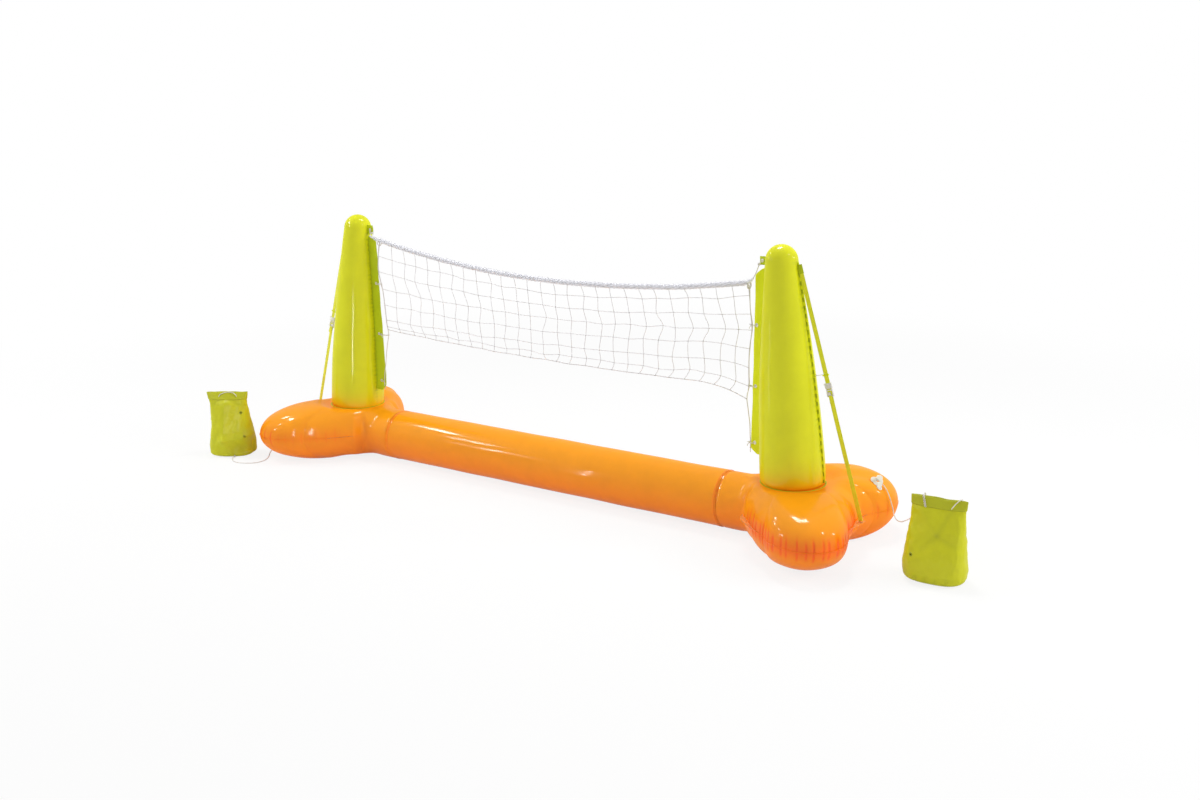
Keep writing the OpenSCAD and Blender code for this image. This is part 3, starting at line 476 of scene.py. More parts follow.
def skin_nodes(tree, given):
    """Fine waves and handling marks of soft vinyl."""
    place = object_place(tree)
    wave = noise(tree, place, given["Wave size"], 3.0)
    grain = noise(tree, place, given["Grain size"], 2.0)
    streaks = noise(tree, place, 70.0, 5.0, 0.7, 1.5)
    return {"Height": math_node(tree, "ADD", wave, math_node(tree, "MULTIPLY", grain, 0.06)),
            "Marks": noise(tree, place, given["Mark size"], 6.0, 0.65),
            "Scuffs": ranged(tree, streaks, 0.56, 0.74)}


def weave_nodes(tree, given):
    """Plain weave of a narrow strap, in the strap's own run."""
    turn = math_node(tree, "MULTIPLY", given["Threads"], FULL_TURN)
    across, along = (math_node(tree, "SINE", math_node(tree, "MULTIPLY", way, turn))
                     for way in piece_run(tree))
    both = math_node(tree, "MULTIPLY", across, along)
    return {"Height": both, "Shade": math_node(tree, "MULTIPLY_ADD", both, 0.5, 0.5)}


def cord_nodes(tree, given):
    """Twisted strands and loose fibres of a cord, in the cord's own run."""
    around, along = piece_run(tree)
    around = math_node(tree, "MULTIPLY", around, given["Strands"])
    along = math_node(tree, "MULTIPLY", along, given["Turns"])
    half_turn = math_node(tree, "MULTIPLY", math_node(tree, "ADD", around, along), FULL_TURN / 2)
    strand = math_node(tree, "ABSOLUTE", math_node(tree, "SINE", half_turn))
    fibre = noise(tree, object_place(tree), given["Fibres"], 3.0)
    return {"Height": math_node(tree, "ADD", strand, math_node(tree, "MULTIPLY", fibre, 0.5)),
            "Shade": strand}


# what fills each effect group, its inputs and its outputs
EFFECTS = {
    "Vinyl skin": (skin_nodes, {"Wave size": 30.0, "Grain size": 900.0, "Mark size": 12.0},
                   ("Height", "Marks", "Scuffs")),
    "Strap weave": (weave_nodes, {"Threads": 900.0}, ("Height", "Shade")),
    "Cord twist": (cord_nodes, {"Turns": 180.0, "Strands": 3.0, "Fibres": 2200.0}, ("Height", "Shade")),
}


def effect(tree, name, values):
    """Outputs of an effect group, which is made the first time that it is asked for."""
    if name not in bpy.data.node_groups:
        fill, inputs, outputs = EFFECTS[name]
        group = bpy.data.node_groups.new(name, "ShaderNodeTree")
        for label, value in inputs.items():
            socket = group.interface.new_socket(label, in_out="INPUT", socket_type="NodeSocketFloat")
            socket.default_value = value
        for label in outputs:
            group.interface.new_socket(label, in_out="OUTPUT", socket_type="NodeSocketFloat")
        given, made = group.nodes.new("NodeGroupInput"), group.nodes.new("NodeGroupOutput")
        set_inputs(group, made, fill(group, given.outputs))
    return add_node(tree, "Group", values, node_tree=bpy.data.node_groups[name]).outputs


def new_finish(name):
    material = bpy.data.materials.new(name)
    material.use_nodes = True
    tree = material.node_tree
    return material, tree, next(n for n in tree.nodes if n.type == "BSDF_PRINCIPLED")


def bump(tree, height, strength, distance):
    inputs = {"Height": height, "Strength": strength, "Distance": distance}
    return add_node(tree, "Bump", inputs).outputs["Normal"]


def mark(tree, name):
    """A mark that piece() stored at the points of a mesh."""
    return add_node(tree, "Attribute", attribute_name=name).outputs["Fac"]


def mottled(tree, colour, marks, low, high):
    """A colour that is darker and lighter in patches."""
    value = ranged(tree, marks, 0.3, 0.7, low, high)
    return add_node(tree, "HueSaturation", {"Color": colour, "Value": value}).outputs[0]


def vinyl(name, top, low, rough, glow=None, turn=0.0, wave=26.0, gloss=0.17):
    """Soft vinyl under a glossy skin, with painted shade: the low colour in its folds and, by turn, where
    it faces down; a glow colour, where given, is painted light.
    """
    material, tree, shader = new_finish(name)
    skin = effect(tree, "Vinyl skin", {"Wave size": wave})
    down = 0.0
    # painted shade: where the surface faces down, its colour turns towards the low colour, by up to turn
    if turn:
        normal = add_node(tree, "NewGeometry").outputs["Normal"]
        up = add_node(tree, "SeparateXYZ", {0: normal}).outputs[2]
        down = ranged(tree, up, 0.85, -0.55, 0.0, turn, interpolation_type="SMOOTHSTEP")
    # painted shade: the mark stored at each piece's points turns the colour to the low colour in its folds
    # and pleats; on welds, patches and rims it gives their own darker tone
    share = math_node(tree, "MAXIMUM", mark(tree, "shade_and_weld"), down, clamp=True)
    colour = mix_colours(tree, share, tuple(top), tuple(low))
    # painted light: where a piece marks a glow, its colour turns to the glow colour
    if glow:
        colour = mix_colours(tree, mark(tree, "glow"), colour, tuple(glow))
    set_inputs(tree, shader, {
        "Base Color": mottled(tree, colour, skin["Marks"], 0.955, 1.03),
        "Roughness": ranged(tree, skin["Scuffs"], 0.0, 1.0, 0.5, 0.7),
        "Coat Weight": ranged(tree, skin["Scuffs"], 0.0, 1.0, gloss, gloss * 0.6),
        "Specular IOR Level": 0.03, "Coat IOR": 2.0, "Coat Roughness": rough,
        "Normal": bump(tree, skin["Height"], 0.25, 0.0016),
    })
    return material


def clear_vinyl(name, colour, share):
    """Milky clear vinyl, cloudier where it is thick or scuffed."""
    material, tree, shader = new_finish(name)
    skin = effect(tree, "Vinyl skin", {"Wave size": 40.0})
    shader.inputs["Base Color"].default_value = colour
    set_inputs(tree, shader, {
        "Base Color": mix_colours(tree, skin["Scuffs"], colour, (0.94, 0.66, 0.42, 1.0)),
        "Alpha": ranged(tree, skin["Marks"], 0.3, 0.7, share - 0.12, share + 0.12),
        "Roughness": 0.34, "Specular IOR Level": 0.1,
        "Normal": bump(tree, skin["Height"], 0.3, 0.0015),
    })
    return material


def thread_finish(name, colour, kind, values, low, rough, sheen, depth):
    """Cord or cloth with an effect's threads, which are darker by low in their grooves: painted shade."""
    material, tree, shader = new_finish(name)
    threads = effect(tree, kind, values)
    deep = tuple(c * low for c in colour[:3]) + (1.0,)
    set_inputs(tree, shader, {
        "Base Color": mix_colours(tree, threads["Shade"], deep, tuple(colour)),
        "Roughness": rough, "Sheen Weight": sheen,
        "Normal": bump(tree, threads["Height"], 0.5, depth),
    })
    return material


def cord_finish(name, colour, turns, rough=0.85):
    return thread_finish(name, colour, "Cord twist", {"Turns": turns}, 0.82, rough, 0.25, 0.0006)


def strap_finish(name, colour):
    return thread_finish(name, colour, "Strap weave", {"Threads": 620.0}, 0.9, 0.62, 0.3, 0.0005)


def plastic_finish(name, colour):
    """Satin moulded plastic with faint marks."""
    material, tree, shader = new_finish(name)
    skin = effect(tree, "Vinyl skin", {"Wave size": 90.0, "Mark size": 60.0})
    set_inputs(tree, shader, {
        "Base Color": mottled(tree, tuple(colour), skin["Marks"], 0.92, 1.02),
        "Roughness": ranged(tree, skin["Scuffs"], 0.0, 1.0, 0.32, 0.5),
        "Normal": bump(tree, skin["Height"], 0.2, 0.0006),
    })
    return material


def finish(slot):
    """The finish for a material slot, made the first time that it is asked for."""
    name = slot + "_finish"
    if name in bpy.data.materials:
        return bpy.data.materials[name]
    c = bpy.context.scene.net_colours
    makers = {
        # the bar and feet turn deep orange where they face down: painted shade
        "orange_vinyl": lambda: vinyl(name, c.orange, c.orange_shade_and_weld, 0.11, turn=0.42),
        # painted light: the posts take the feet's orange by their glow mark, a painted reflection of the
        # feet
        "lime_vinyl": lambda: vinyl(name, c.lime, c.lime_shade_and_weld, 0.11, glow=c.orange),
        "lime_sheet": lambda: vinyl(name, c.sheet, c.lime_shade_and_weld, 0.30, c.sheet_painted_light, wave=50.0, gloss=0.10),
        "bag_vinyl": lambda: vinyl(name, c.bag, c.bag_olive_shade, 0.34, wave=60.0, gloss=0.16),
        "clear_vinyl": lambda: clear_vinyl(name, tuple(c.clear), 0.42),
        "valve_vinyl": lambda: clear_vinyl(name, (0.93, 0.90, 0.84, 1.0), 0.78),
        "lime_strap": lambda: strap_finish(name, c.strap),
        "net_twine": lambda: cord_finish(name, c.twine, 260.0),
        "white_cord": lambda: cord_finish(name, c.cord, 170.0),
        "fluffy_rope": lambda: cord_finish(name, c.rope, 90.0, 0.95),
        "white_plastic": lambda: plastic_finish(name, c.plastic),
    }
    return makers[slot]()


# ------------------------------------------------------------------ camera and stage
CAMERA_AT = (2.505, -3.364, 1.408)
CAMERA_YAW, CAMERA_PITCH, CAMERA_ROLL = map(math.radians, (34.31, 14.59, -0.77))
CAMERA_LENS, CAMERA_FILM = 37.84, 36.0
WHITE, FLOOR_REACH = (1.0, 1.0, 1.0, 1.0), 14.0


class NET_OT_camera(bpy.types.Operator):
    """Sets up the camera in front of the right-hand end"""

    bl_idname = "net.camera"
    bl_label = "Camera"

    def execute(self, context):
        data = bpy.data.cameras.new("net_camera")
        data.lens, data.sensor_width, data.sensor_fit = CAMERA_LENS, CAMERA_FILM, "HORIZONTAL"
        data.clip_start, data.clip_end = 0.05, 60.0
        camera = bpy.data.objects.new("net_camera", data)
        context.scene.collection.objects.link(camera)
        ahead = Vector((-math.sin(CAMERA_YAW) * math.cos(CAMERA_PITCH),
                        math.cos(CAMERA_YAW) * math.cos(CAMERA_PITCH), -math.sin(CAMERA_PITCH)))
        right = Vector((math.cos(CAMERA_YAW), math.sin(CAMERA_YAW), 0))
        up = right.cross(ahead)
        level = math.cos(CAMERA_ROLL) * right + math.sin(CAMERA_ROLL) * up
        rows = Matrix((level, level.cross(ahead), -ahead)).transposed()
        camera.matrix_world = Matrix.Translation(CAMERA_AT) @ rows.to_4x4()
        context.scene.camera = camera
        return {"FINISHED"}


# name, what it points at, direction towards the lamp, distance, width, height, power
# and what it serves: light, the spots in the gloss, or both
LAMPS = (
    ("key_left", (-0.56, 0.0, 0.18), (-0.65, -0.23, 0.72), 4.0, 0.55, 0.25, 32.0, "light"),
    ("bar_streak", (-0.56, 0.0, 0.18), (-0.60, -0.29, 0.75), 1.6, 0.26, 0.12, 5.5, "gloss"),
    ("overhead", (1.02, -0.2, 0.15), (-0.23, 0.27, 0.94), 3.2, 0.8, 0.8, 37.0, "light"),
    ("overhead_spot", (1.02, -0.2, 0.15), (-0.26, 0.27, 0.93), 3.2, 0.90, 0.70, 76.0, "gloss"),
    ("second_right", (1.142, -0.266, 0.151), (0.54, 0.154, 0.827), 3.2, 0.20, 0.26, 7.0, "gloss"),
    ("back_right", (0.97, 0.0, 0.88), (0.83, 0.45, 0.32), 3.2, 0.22, 0.22, 10.0, "both"),
    ("dome_left", (0.86, -0.04, 0.87), (-0.857, -0.416, 0.303), 3.4, 0.14, 0.34, 5.0, "gloss"),
    ("dome_front", (-0.863, -0.046, 0.872), (-0.50, -0.83, 0.23), 3.0, 0.20, 0.36, 8.0, "gloss"),
    ("foot_left", (-1.031, -0.272, 0.171), (-0.605, 0.068, 0.794), 3.4, 0.48, 0.30, 18.0, "gloss"),
    ("side_left", (0.0, 0.0, 0.4), (-0.86, -0.45, 0.40), 5.0, 2.4, 1.8, 40.0, "light"),
    ("side_right", (0.0, 0.0, 0.4), (0.95, 0.18, 0.40), 5.0, 2.4, 1.8, 66.0, "light"),
    ("strip_front", (-0.95, 0.0, 0.32), (0.38, -0.92, 0.0), 1.2, 0.02, 0.45, 2.6, "gloss"),
)


def seen_rays(tree):
    """1 for what the camera sees, also in gloss and through clear vinyl, and 0 for light."""
    rays = add_node(tree, "LightPath").outputs
    mirrored_or_through = math_node(tree, "MAXIMUM", rays["Is Glossy Ray"], rays["Is Transmission Ray"])
    return math_node(tree, "MAXIMUM", rays["Is Camera Ray"], mirrored_or_through)


class NET_OT_stage(bpy.types.Operator):
    """Adds the white floor, the lamps and the light from all round"""

    bl_idname = "net.stage"
    bl_label = "Stage and lamps"

    def execute(self, context):
        scene, stage = context.scene, context.scene.net_stage
        scene.view_settings.view_transform = "Standard"
        self.lay_floor(scene, stage)
        world = bpy.data.worlds.new("stage_world")
        scene.world = world
        world.use_nodes = True
        tree = world.node_tree
        tree.nodes.clear()
        strength = ranged(tree, seen_rays(tree), 0.0, 1.0, stage.ambient, 1.0)
        sky = add_node(tree, "Background", {"Color": WHITE, "Strength": strength})
        add_node(tree, "OutputWorld", {"Surface": sky.outputs[0]})
        for name, target, way, distance, width, height, power, serves in LAMPS:
            lamp = bpy.data.lights.new("stage_" + name, "AREA")
            lamp.shape, lamp.size, lamp.size_y = "RECTANGLE", width, height
            lamp.energy = power * stage.lamps
            ob = bpy.data.objects.new("stage_" + name, lamp)
            ob.location = Vector(target) + Vector(way).normalized() * distance
            ob.rotation_euler = (Vector(target) - ob.location).to_track_quat("-Z", "Y").to_euler()
            ob.visible_camera = False
            ob.visible_glossy, ob.visible_diffuse = serves != "light", serves != "gloss"
            scene.collection.objects.link(ob)
        return {"FINISHED"}

    def lay_floor(self, scene, stage):
        """A wide floor that takes shadows near the net and fades to white further out."""
        material, tree, shader = new_finish("stage_floor")
        set_inputs(tree, shader, {"Base Color": tuple(stage.floor), "Roughness": 0.9,
                                  "Specular IOR Level": 0.1})
        glow = add_node(tree, "Emission", {"Color": WHITE, "Strength": 1.0})
        away = add_node(tree, "VectorMath", {0: object_place(tree)}, operation="LENGTH").outputs["Value"]
        clear = ranged(tree, away, 1.6, 4.0, 0.84, 1.0, interpolation_type="SMOOTHSTEP")
        share = math_node(tree, "MULTIPLY", seen_rays(tree), clear)
        mixed = add_node(tree, "MixShader", {0: share, 1: shader.outputs[0], 2: glow.outputs[0]})
        out = next(n for n in tree.nodes if n.type == "OUTPUT_MATERIAL")
        tree.links.new(mixed.outputs[0], out.inputs[0])
        mesh = bpy.data.meshes.new("stage_floor")
        r, z = FLOOR_REACH, -0.0005
        mesh.from_pydata([(-r, -r, z), (r, -r, z), (r, r, z), (-r, r, z)], [], [(0, 1, 2, 3)])
        mesh.materials.append(material)
        floor = bpy.data.objects.new("stage_floor", mesh)
        scene.collection.objects.link(floor)


# ------------------------------------------------------------------ tethers
class NET_OT_tethers(bpy.types.Operator):
    """Lays the two tether cords from the feet to the anchor bags"""

    bl_idname = "net.tethers"
    bl_label = "Tether cords"

    def execute(self, context):
        r = mm(context.scene.net_cords.tether)
        for side, route in (("right", RIGHT_ROUTE), ("left", LEFT_ROUTE)):
            run = spline(route, 4)
            ob = piece(f"{side}_tether_cord", Shape().cord(run, r, 10), "white_cord",
                       replaces=[f"{side}_tether"])
        return {"FINISHED"}


# ------------------------------------------------------------------ base bar
class NET_OT_base_bar(bpy.types.Operator):
    """Builds the air-filled bar with its weld bands"""

    bl_idname = "net.base_bar"
    bl_label = "Base bar"

    def execute(self, context):
        skins = context.scene.net_skins
        rng = np.random.default_rng(11)
        sides = 128
        close = BAR_HALF - 60
        xs = np.concatenate([np.arange(-BAR_HALF, -close, 2.0), np.arange(-close, close, 8.0),
                             np.arange(close, BAR_HALF + 0.1, 2.0)])
        turn = circle(sides)
        ring = xyz(0, np.cos(turn), np.sin(turn))
        pts = self.round_bar(xs, BAR_R * ring[None])
        near = BAR_HALF - np.abs(xs)
        push = mm(skins.wave) * waves(pts, 170, 3)
        push = push - mm(skins.neck) * bell(near, 5.0)[:, None]
        # painted shade: the pleat lines by the bar's ends and the groove at each weld darken the orange
        shade_and_weld = np.zeros(push.shape)
        for sign in (-1, 1):
            for _ in range(46):
                at, width = rng.uniform(0, 2 * np.pi), rng.uniform(0.018, 0.035)
                depth, reach = rng.uniform(0.2, 1.0), rng.uniform(10, 34)
                gap = angle_gap(turn, at)
                dist = BAR_HALF - sign * xs
                line = bell(dist, reach)[:, None] * bell(gap, width)[None]
                line[sign * xs < 0] = 0
                push -= 0.8 * depth * line
                shade_and_weld += 0.5 * depth * line
        shade_and_weld += 0.5 * bell(near, 3.0)[:, None]
        pts = pts + push[..., None] * ring[None]
        pts[..., 2] = np.maximum(pts[..., 2], 0.15)
        shape = Shape().add(pts.reshape(-1, 3), grid_faces(len(xs), sides, wrap=True))
        piece("bar_skin", shape, "orange_vinyl", replaces=["base_bar"], marks={"shade_and_weld": shade_and_weld})

        shape = Shape()
        across = np.linspace(-1, 1, 9)
        lift = BAR_R - 0.5 + (WELD_T + 0.6) * np.sqrt(1 - across ** 6)
        for sign in (-1, 1):
            xs = sign * (BAR_HALF - WELD_W) + across * WELD_W / 2
            pts = self.round_bar(xs, lift[:, None, None] * ring[None])
            pts = pts + 0.25 * waves(pts, 16, 5)[..., None] * ring[None]
            pts[..., 2] = np.maximum(pts[..., 2], 0.1)
            shape.add(pts.reshape(-1, 3), grid_faces(9, sides, wrap=True))
        piece("bar_weld_seams", shape, "orange_vinyl", replaces=["bar_weld_bands"], marks={"shade_and_weld": 0.45})
        return {"FINISHED"}

    @staticmethod
    def round_bar(xs, out):
        return np.array([0, 0, BAR_Z]) + xs[:, None, None] * np.array([1.0, 0, 0]) + out


# ------------------------------------------------------------------ feet
# For the front and the back of a foot: how far its outline stands out of the solid's, as
# a share of its reach, at which angle from outwards and over what width, in degrees.
FOOT_TRIMS = (
    ((0.035, LOBE_A + 4, 13), (-0.085, 25, 12)),
    ((-0.10, 15, 9), (-0.035, 40, 16), (0.06, 95, 16)),
)
BACK_PUFF, BACK_DIP = 10.0, 0.1                    # the back lobe's extra height, and its share of the dip
# painted shade: how strongly the pleats, the band along the seam and the weld neck darken a foot's orange
FOLD_SHADE, SEAM_SHADE, NECK_SHADE = 1.9, 0.85, 0.35
SEAM_REACH, PLEAT_END = 38.0, 118.0                # width of the painted shade band along the seam, and the last pleat's angle
FOOT_RAYS, FOOT_RINGS, FOOT_CUT = 960, 28, 40      # points along the seam, up the skin and at the bar


def lobe_reach(a):
    rad = np.radians(a)
    b = LOBE_X * np.cos(rad) + LOBE_Y * np.sin(rad)
    return b + np.sqrt(np.maximum(0, LOBE_R ** 2 - LOBE_X ** 2 - LOBE_Y ** 2 + b * b))


def foot_reach(way):
    """Reach of a foot from its post, -180 to 180 degrees from outwards, front negative."""
    way = np.asarray(way, float)
    a = np.abs(way)
    rad = np.radians(a)
    t = a / LOBE_LO
    valley = VALLEY_R + (lobe_reach(LOBE_LO) - VALLEY_R) * t * t * (2 - t)
    t = np.clip((a - LOBE_HI) / (CORNER_A - LOBE_HI), 0, 1)
    high = lobe_reach(LOBE_HI)
    corner = high + (CORNER_R - high) * (1 - (1 - t) ** 1.6)
    w = ease(0, 0.8, (a - CORNER_A) / (END_A - CORNER_A))
    side = BAR_R / np.maximum(np.sin(rad), 1e-6)
    neck = np.maximum(side, CORNER_R * (1 - w) + side * w)
    flat = -END_DIST / np.minimum(np.cos(rad), -1e-6)
    reach = np.select([a < LOBE_LO, a <= LOBE_HI, a < CORNER_A, a < END_A - 0.01],
                      [valley, lobe_reach(a), corner, neck], flat)
    front, back = (sum(share * bell(a - at, width) for share, at, width in trims) for trims in FOOT_TRIMS)
    return reach * (1 + np.where(way < 0, front, back))


def foot_heights(way, r):
    """Heights of the top and the underside of a foot, and of its seam."""
    reach = foot_reach(way)
    a = np.abs(way)
    stub = ease(STUB_A, END_A, a)
    ahead = np.asarray(way) < 0
    puff = PUFF + np.where(ahead, 0.0, BACK_PUFF) * ease(38, 52, a) * ease(130, 112, a)
    dip = CORNER_DIP * ease(LOBE_HI, CORNER_A, a) * np.where(ahead, 1.0, BACK_DIP)
    puff = puff - VALLEY_DIP * ease(30, 0, a) - dip
    puff = puff * np.sqrt(np.maximum(0, 1 - np.minimum(r / reach, 1) ** PUFF_POWER))
    y = r * np.sin(np.radians(a))
    half = stub * np.sqrt(np.maximum(0, BAR_R ** 2 - y * y)) + (1 - stub) * puff
    middle = stub * BAR_Z + (1 - stub) * SEAM_Z
    seat = ease(0, 1, (r - SEAT_R) / np.minimum(SEAT_BLEND, reach - SEAT_R))
    return (seat * (middle + half) + (1 - seat) * SEAT_Z,
            np.maximum(0, seat * (middle - half) + (1 - seat) * UNDER_Z), middle)


def skin_point(a, r):
    """Point of the right foot's top, in the direction a and at the distance r."""
    high = foot_heights(np.array(a, float), np.array(r, float))[0]
    return np.array([POST_X + r * math.cos(math.radians(a)), r * math.sin(math.radians(a)), float(high)])


def seam_pleats(rng, run, gap, keep):
    """Places, depths, lengths and widths of the pleats along a seam of that run."""
    at, rows = run[0], []
    while at < run[-1]:
        at += gap * rng.uniform(0.6, 1.45)
        if keep(at):
            rows.append((at, rng.uniform(0.35, 1.0), rng.uniform(20, 38), rng.uniform(1.7, 2.9)))
    return rows


def build_foot(side, seed, skins):
    """One foot: its top and underside in one skin, pleated along the seam, with painted shade in the
    pleats, along the seam and at the weld neck.
    """
    rng = np.random.default_rng(seed)
    sign = SIDES[side]
    seam_part = slice(0, FOOT_RAYS + 1)
    joined = BAR_R * np.cos(np.pi * np.arange(1, FOOT_CUT) / FOOT_CUT)
    a = np.concatenate([np.linspace(-END_A, END_A, FOOT_RAYS + 1),
                        180 - np.degrees(np.arctan2(joined, END_DIST))])
    way = np.where(a > 180, a - 360, a)
    folded = np.abs(way)
    s = np.sin(np.pi / 2 * np.arange(FOOT_RINGS + 1) / FOOT_RINGS)
    reach = foot_reach(way)
    r = SEAT_R + (reach[:, None] - SEAT_R) * s[None]
    high, low, middle = foot_heights(way[:, None], r)
    rad = np.radians(a)[:, None]
    flat = np.stack([r * np.cos(rad), r * np.sin(rad)], -1)
    rim = np.concatenate([flat[:, -1], middle], -1)
    run = run_lengths(rim)

    def angle_at(u):
        return np.interp(u, run[seam_part], a[seam_part])

    pleats = seam_pleats(rng, run[seam_part], mm(skins.pleat_gap), lambda u: abs(angle_at(u)) < PLEAT_END)
    skins_made, foot_shades = [], []
    for face, z in ((1, high), (-1, low)):
        p = np.concatenate([flat, z[..., None]], -1)
        p[:, -1, 2] = rim[:, 2]
        dr = np.gradient(p, axis=1)
        da = np.roll(p, -1, 0) - np.roll(p, 1, 0)
        normal = unit(np.cross(dr, da)) * face
        normal[:, -1] = unit(np.concatenate([flat[:, -1], np.zeros((len(a), 1))], -1))
        dist = np.linalg.norm(p - p[:, -1:], axis=-1)
        fold = np.zeros(dist.shape)
        for at, depth, length, width in pleats:
            turned = angle_at(at)
            length = length * (1 if face > 0 else 0.9) * (1.5 if abs(turned) < 16 else 1)
            gap = np.abs(run - at)
            rows = gap < 40
            spread = width * (0.75 + 1.1 * dist[rows] / length)
            depth *= 1 if turned < 0 else 0.3
            if side == "left":
                depth *= 0.15 + 0.7 * float(ease(74, 58, abs(turned)))
            fold[rows] += depth * bell(gap[rows, None], spread) * np.exp(-(dist[rows] / length) ** 2.6)
        fade_in = ease(124, 104, folded)[:, None]
        fold = fold * fade_in
        space = p * np.array([sign, 1, 1]) + np.array([sign * POST_X, 0, 0])
        push = mm(skins.wave) * waves(space, 120, seed + 2) * ease(0, 25, r - SEAT_R)
        push = push - mm(skins.pleat_depth) * fold
        end = bell(p[..., 0] + END_DIST, 5.0)
        p = p + push[..., None] * normal
        drawn = 1 - mm(skins.neck) / BAR_R * end * (folded > STUB_A)[:, None]
        p[..., 1] *= drawn
        p[..., 2] = BAR_Z + (p[..., 2] - BAR_Z) * np.where(folded[:, None] > STUB_A, drawn, 1)
        p[:, -1, 2] = rim[:, 2]
        p[..., 2] = np.maximum(p[..., 2], 0.15)
        # painted shade in a band along the seam: full on the right foot's front, half on the left foot's
        # front, 0.4 at the backs
        seam_shade_share = np.where(way < 0, 1.0 if side == "right" else 0.5, 0.4)[:, None]
        seam = np.exp(-(dist / SEAM_REACH) ** 1.6) * fade_in * seam_shade_share
        skins_made.append(p)
        foot_shades.append(np.clip(FOLD_SHADE * fold + SEAM_SHADE * seam + NECK_SHADE * end ** 3, 0, 1))
    n, m = len(a), FOOT_RINGS + 1
    shape = Shape()
    faces = grid_faces(n, m)
    faces += [((n - 1) * m + k, (n - 1) * m + k + 1, k + 1, k) for k in range(m - 1)]
    for p, seat_z in zip(skins_made, (SEAT_Z, UNDER_Z)):
        start = shape.count
        shape.add(mirrored((p + np.array([POST_X, 0, 0])).reshape(-1, 3), sign), faces)
        shape.fan((sign * POST_X, 0, seat_z), range(start, start + n * m, m))
    marks = np.concatenate([foot_shades[0].ravel(), [0], foot_shades[1].ravel(), [0]])
    piece(f"{side}_foot_skin", shape, "orange_vinyl", replaces=[f"{side}_foot"], weld=0.02,
          marks={"shade_and_weld": marks})
    build_web(side, seed, a[seam_part], reach, run)


def build_web(side, seed, a, reach, run):
    """The welded rim round a foot, and the clear web in its valley and corners."""
    sign = SIDES[side]
    at = np.nonzero(np.abs(a) < STUB_A - 1)[0]
    a, fr, fu = a[at], reach[at], run[at]
    fa = np.abs(a)
    corner = ease(LOBE_HI, CORNER_A - 8, fa) * (1 - ease(CORNER_A - 6, STUB_A, fa))
    web = FLANGE_WEB * (1 - ease(0, LOBE_LO, fa) + corner)
    if side == "left":
        web = web * np.where((a < 0) & (fa > LOBE_HI), 0.2, 1.0)
    wobble, flutter = line_waves(fu, 46, seed + 5), line_waves(fu, 13, seed + 6)
    ra = np.radians(a)[:, None]
    t = np.linspace(0, 1, 4)
    wide = 0.55 * FLANGE_W * (0.85 + 0.15 * flutter)
    rr = fr[:, None] - 1.5 + (1.5 + wide)[:, None] * t[None]
    z = SEAM_Z + 0.35 * flutter[:, None] * t[None]
    pts = xyz(POST_X + rr * np.cos(ra), rr * np.sin(ra), z).reshape(-1, 3)
    # the welded rim takes a darker orange as its own tone, twice as much on the front half as on the back;
    # the extra on the front is painted shade
    piece(f"{side}_foot_rim", Shape().add(mirrored(pts, sign), grid_faces(len(at), 4)), "orange_vinyl",
          replaces=[f"{side}_foot_flange"], closed=False, thick=0.7,
          marks={"shade_and_weld": np.repeat(np.where(a < 0, 0.5, 0.25), 4)})
    shape = Shape()
    wide = np.maximum(web - 1.5, 0) * (0.93 + 0.07 * wobble)
    edges = np.flatnonzero(np.diff(np.concatenate([[0], wide > 0.6, [0]]).astype(int)))
    for first, last in zip(edges[::2], edges[1::2]):
        part = slice(first, last)
        t = np.linspace(0, 1, 8)
        rr = fr[part, None] + 0.4 * FLANGE_W - 1.5 + (wide[part] + 1.5)[:, None] * t[None]
        bend = np.minimum(0.15 * wide[part], 2.6)[:, None] * (t ** 1.3)[None] * wobble[part, None]
        z = SEAM_Z + bend + 0.5 * flutter[part, None] * t[None]
        pts = xyz(POST_X + rr * np.cos(ra[part]), rr * np.sin(ra[part]), z).reshape(-1, 3)
        shape.add(mirrored(pts, sign), grid_faces(last - first, 8))
    piece(f"{side}_foot_web", shape, "clear_vinyl", replaces=[f"{side}_foot_flange"],
          closed=False, thick=0.6)


class NET_OT_feet(bpy.types.Operator):
    """Builds the two lobed feet with their pleats and clear webs"""

    bl_idname = "net.feet"
    bl_label = "Feet"

    def execute(self, context):
        for side, seed in (("left", 21), ("right", 34)):
            build_foot(side, seed, context.scene.net_skins)
        return {"FINISHED"}


# ------------------------------------------------------------------ posts
POST_SIDES, DOME_HOLE = 144, 1.2                   # points round the skin, and its last ring's radius
# gap between the pleats along a post's seams, count of the wrinkles at its foot, and the reach of the
# painted orange glow up from its foot
POST_CREASE_GAP, FOOT_CREASES, PAINTED_GLOW_REACH = 15, 40, 38.0
def post_r(t):
    s = np.clip((np.asarray(t, float) - POST_EDGE) / (POST_LEN - POST_EDGE), 0, 1)
    return POST_HIGH + (POST_LOW - POST_HIGH) * (1 - s ** POST_CURVE)


def in_world(points, sign=1):
    """Points of a post's own frame, Z up its axis and X away from the net."""
    p = np.asarray(points, float)
    bend = POST_BEND * np.clip(p[..., 2] / POST_LEN, 0, 1.1)
    x = POST_X - bend - p[..., 2] * math.sin(LEAN) + p[..., 0] * math.cos(LEAN)
    z = SEAT_Z + p[..., 2] * math.cos(LEAN) + p[..., 0] * math.sin(LEAN)
    return xyz(sign * x, p[..., 1], z)


def post_side(z, out=0.0, way=-1):
    """X of a post's inner (-1) or outer (1) side at the world height z."""
    t = (np.asarray(z, float) - SEAT_Z) / math.cos(LEAN)
    return in_world(xyz(way * post_r(t) + out, 0, t))[..., 0]


def build_post(side, seed, skins):
    """One post: its skin, the weld at its foot and the seam fin on its outer side."""
    sign = SIDES[side]
    build_post_skin(side, sign, seed, skins)
    build_post_weld(side, sign, seed)
    build_post_fin(side, sign, seed)


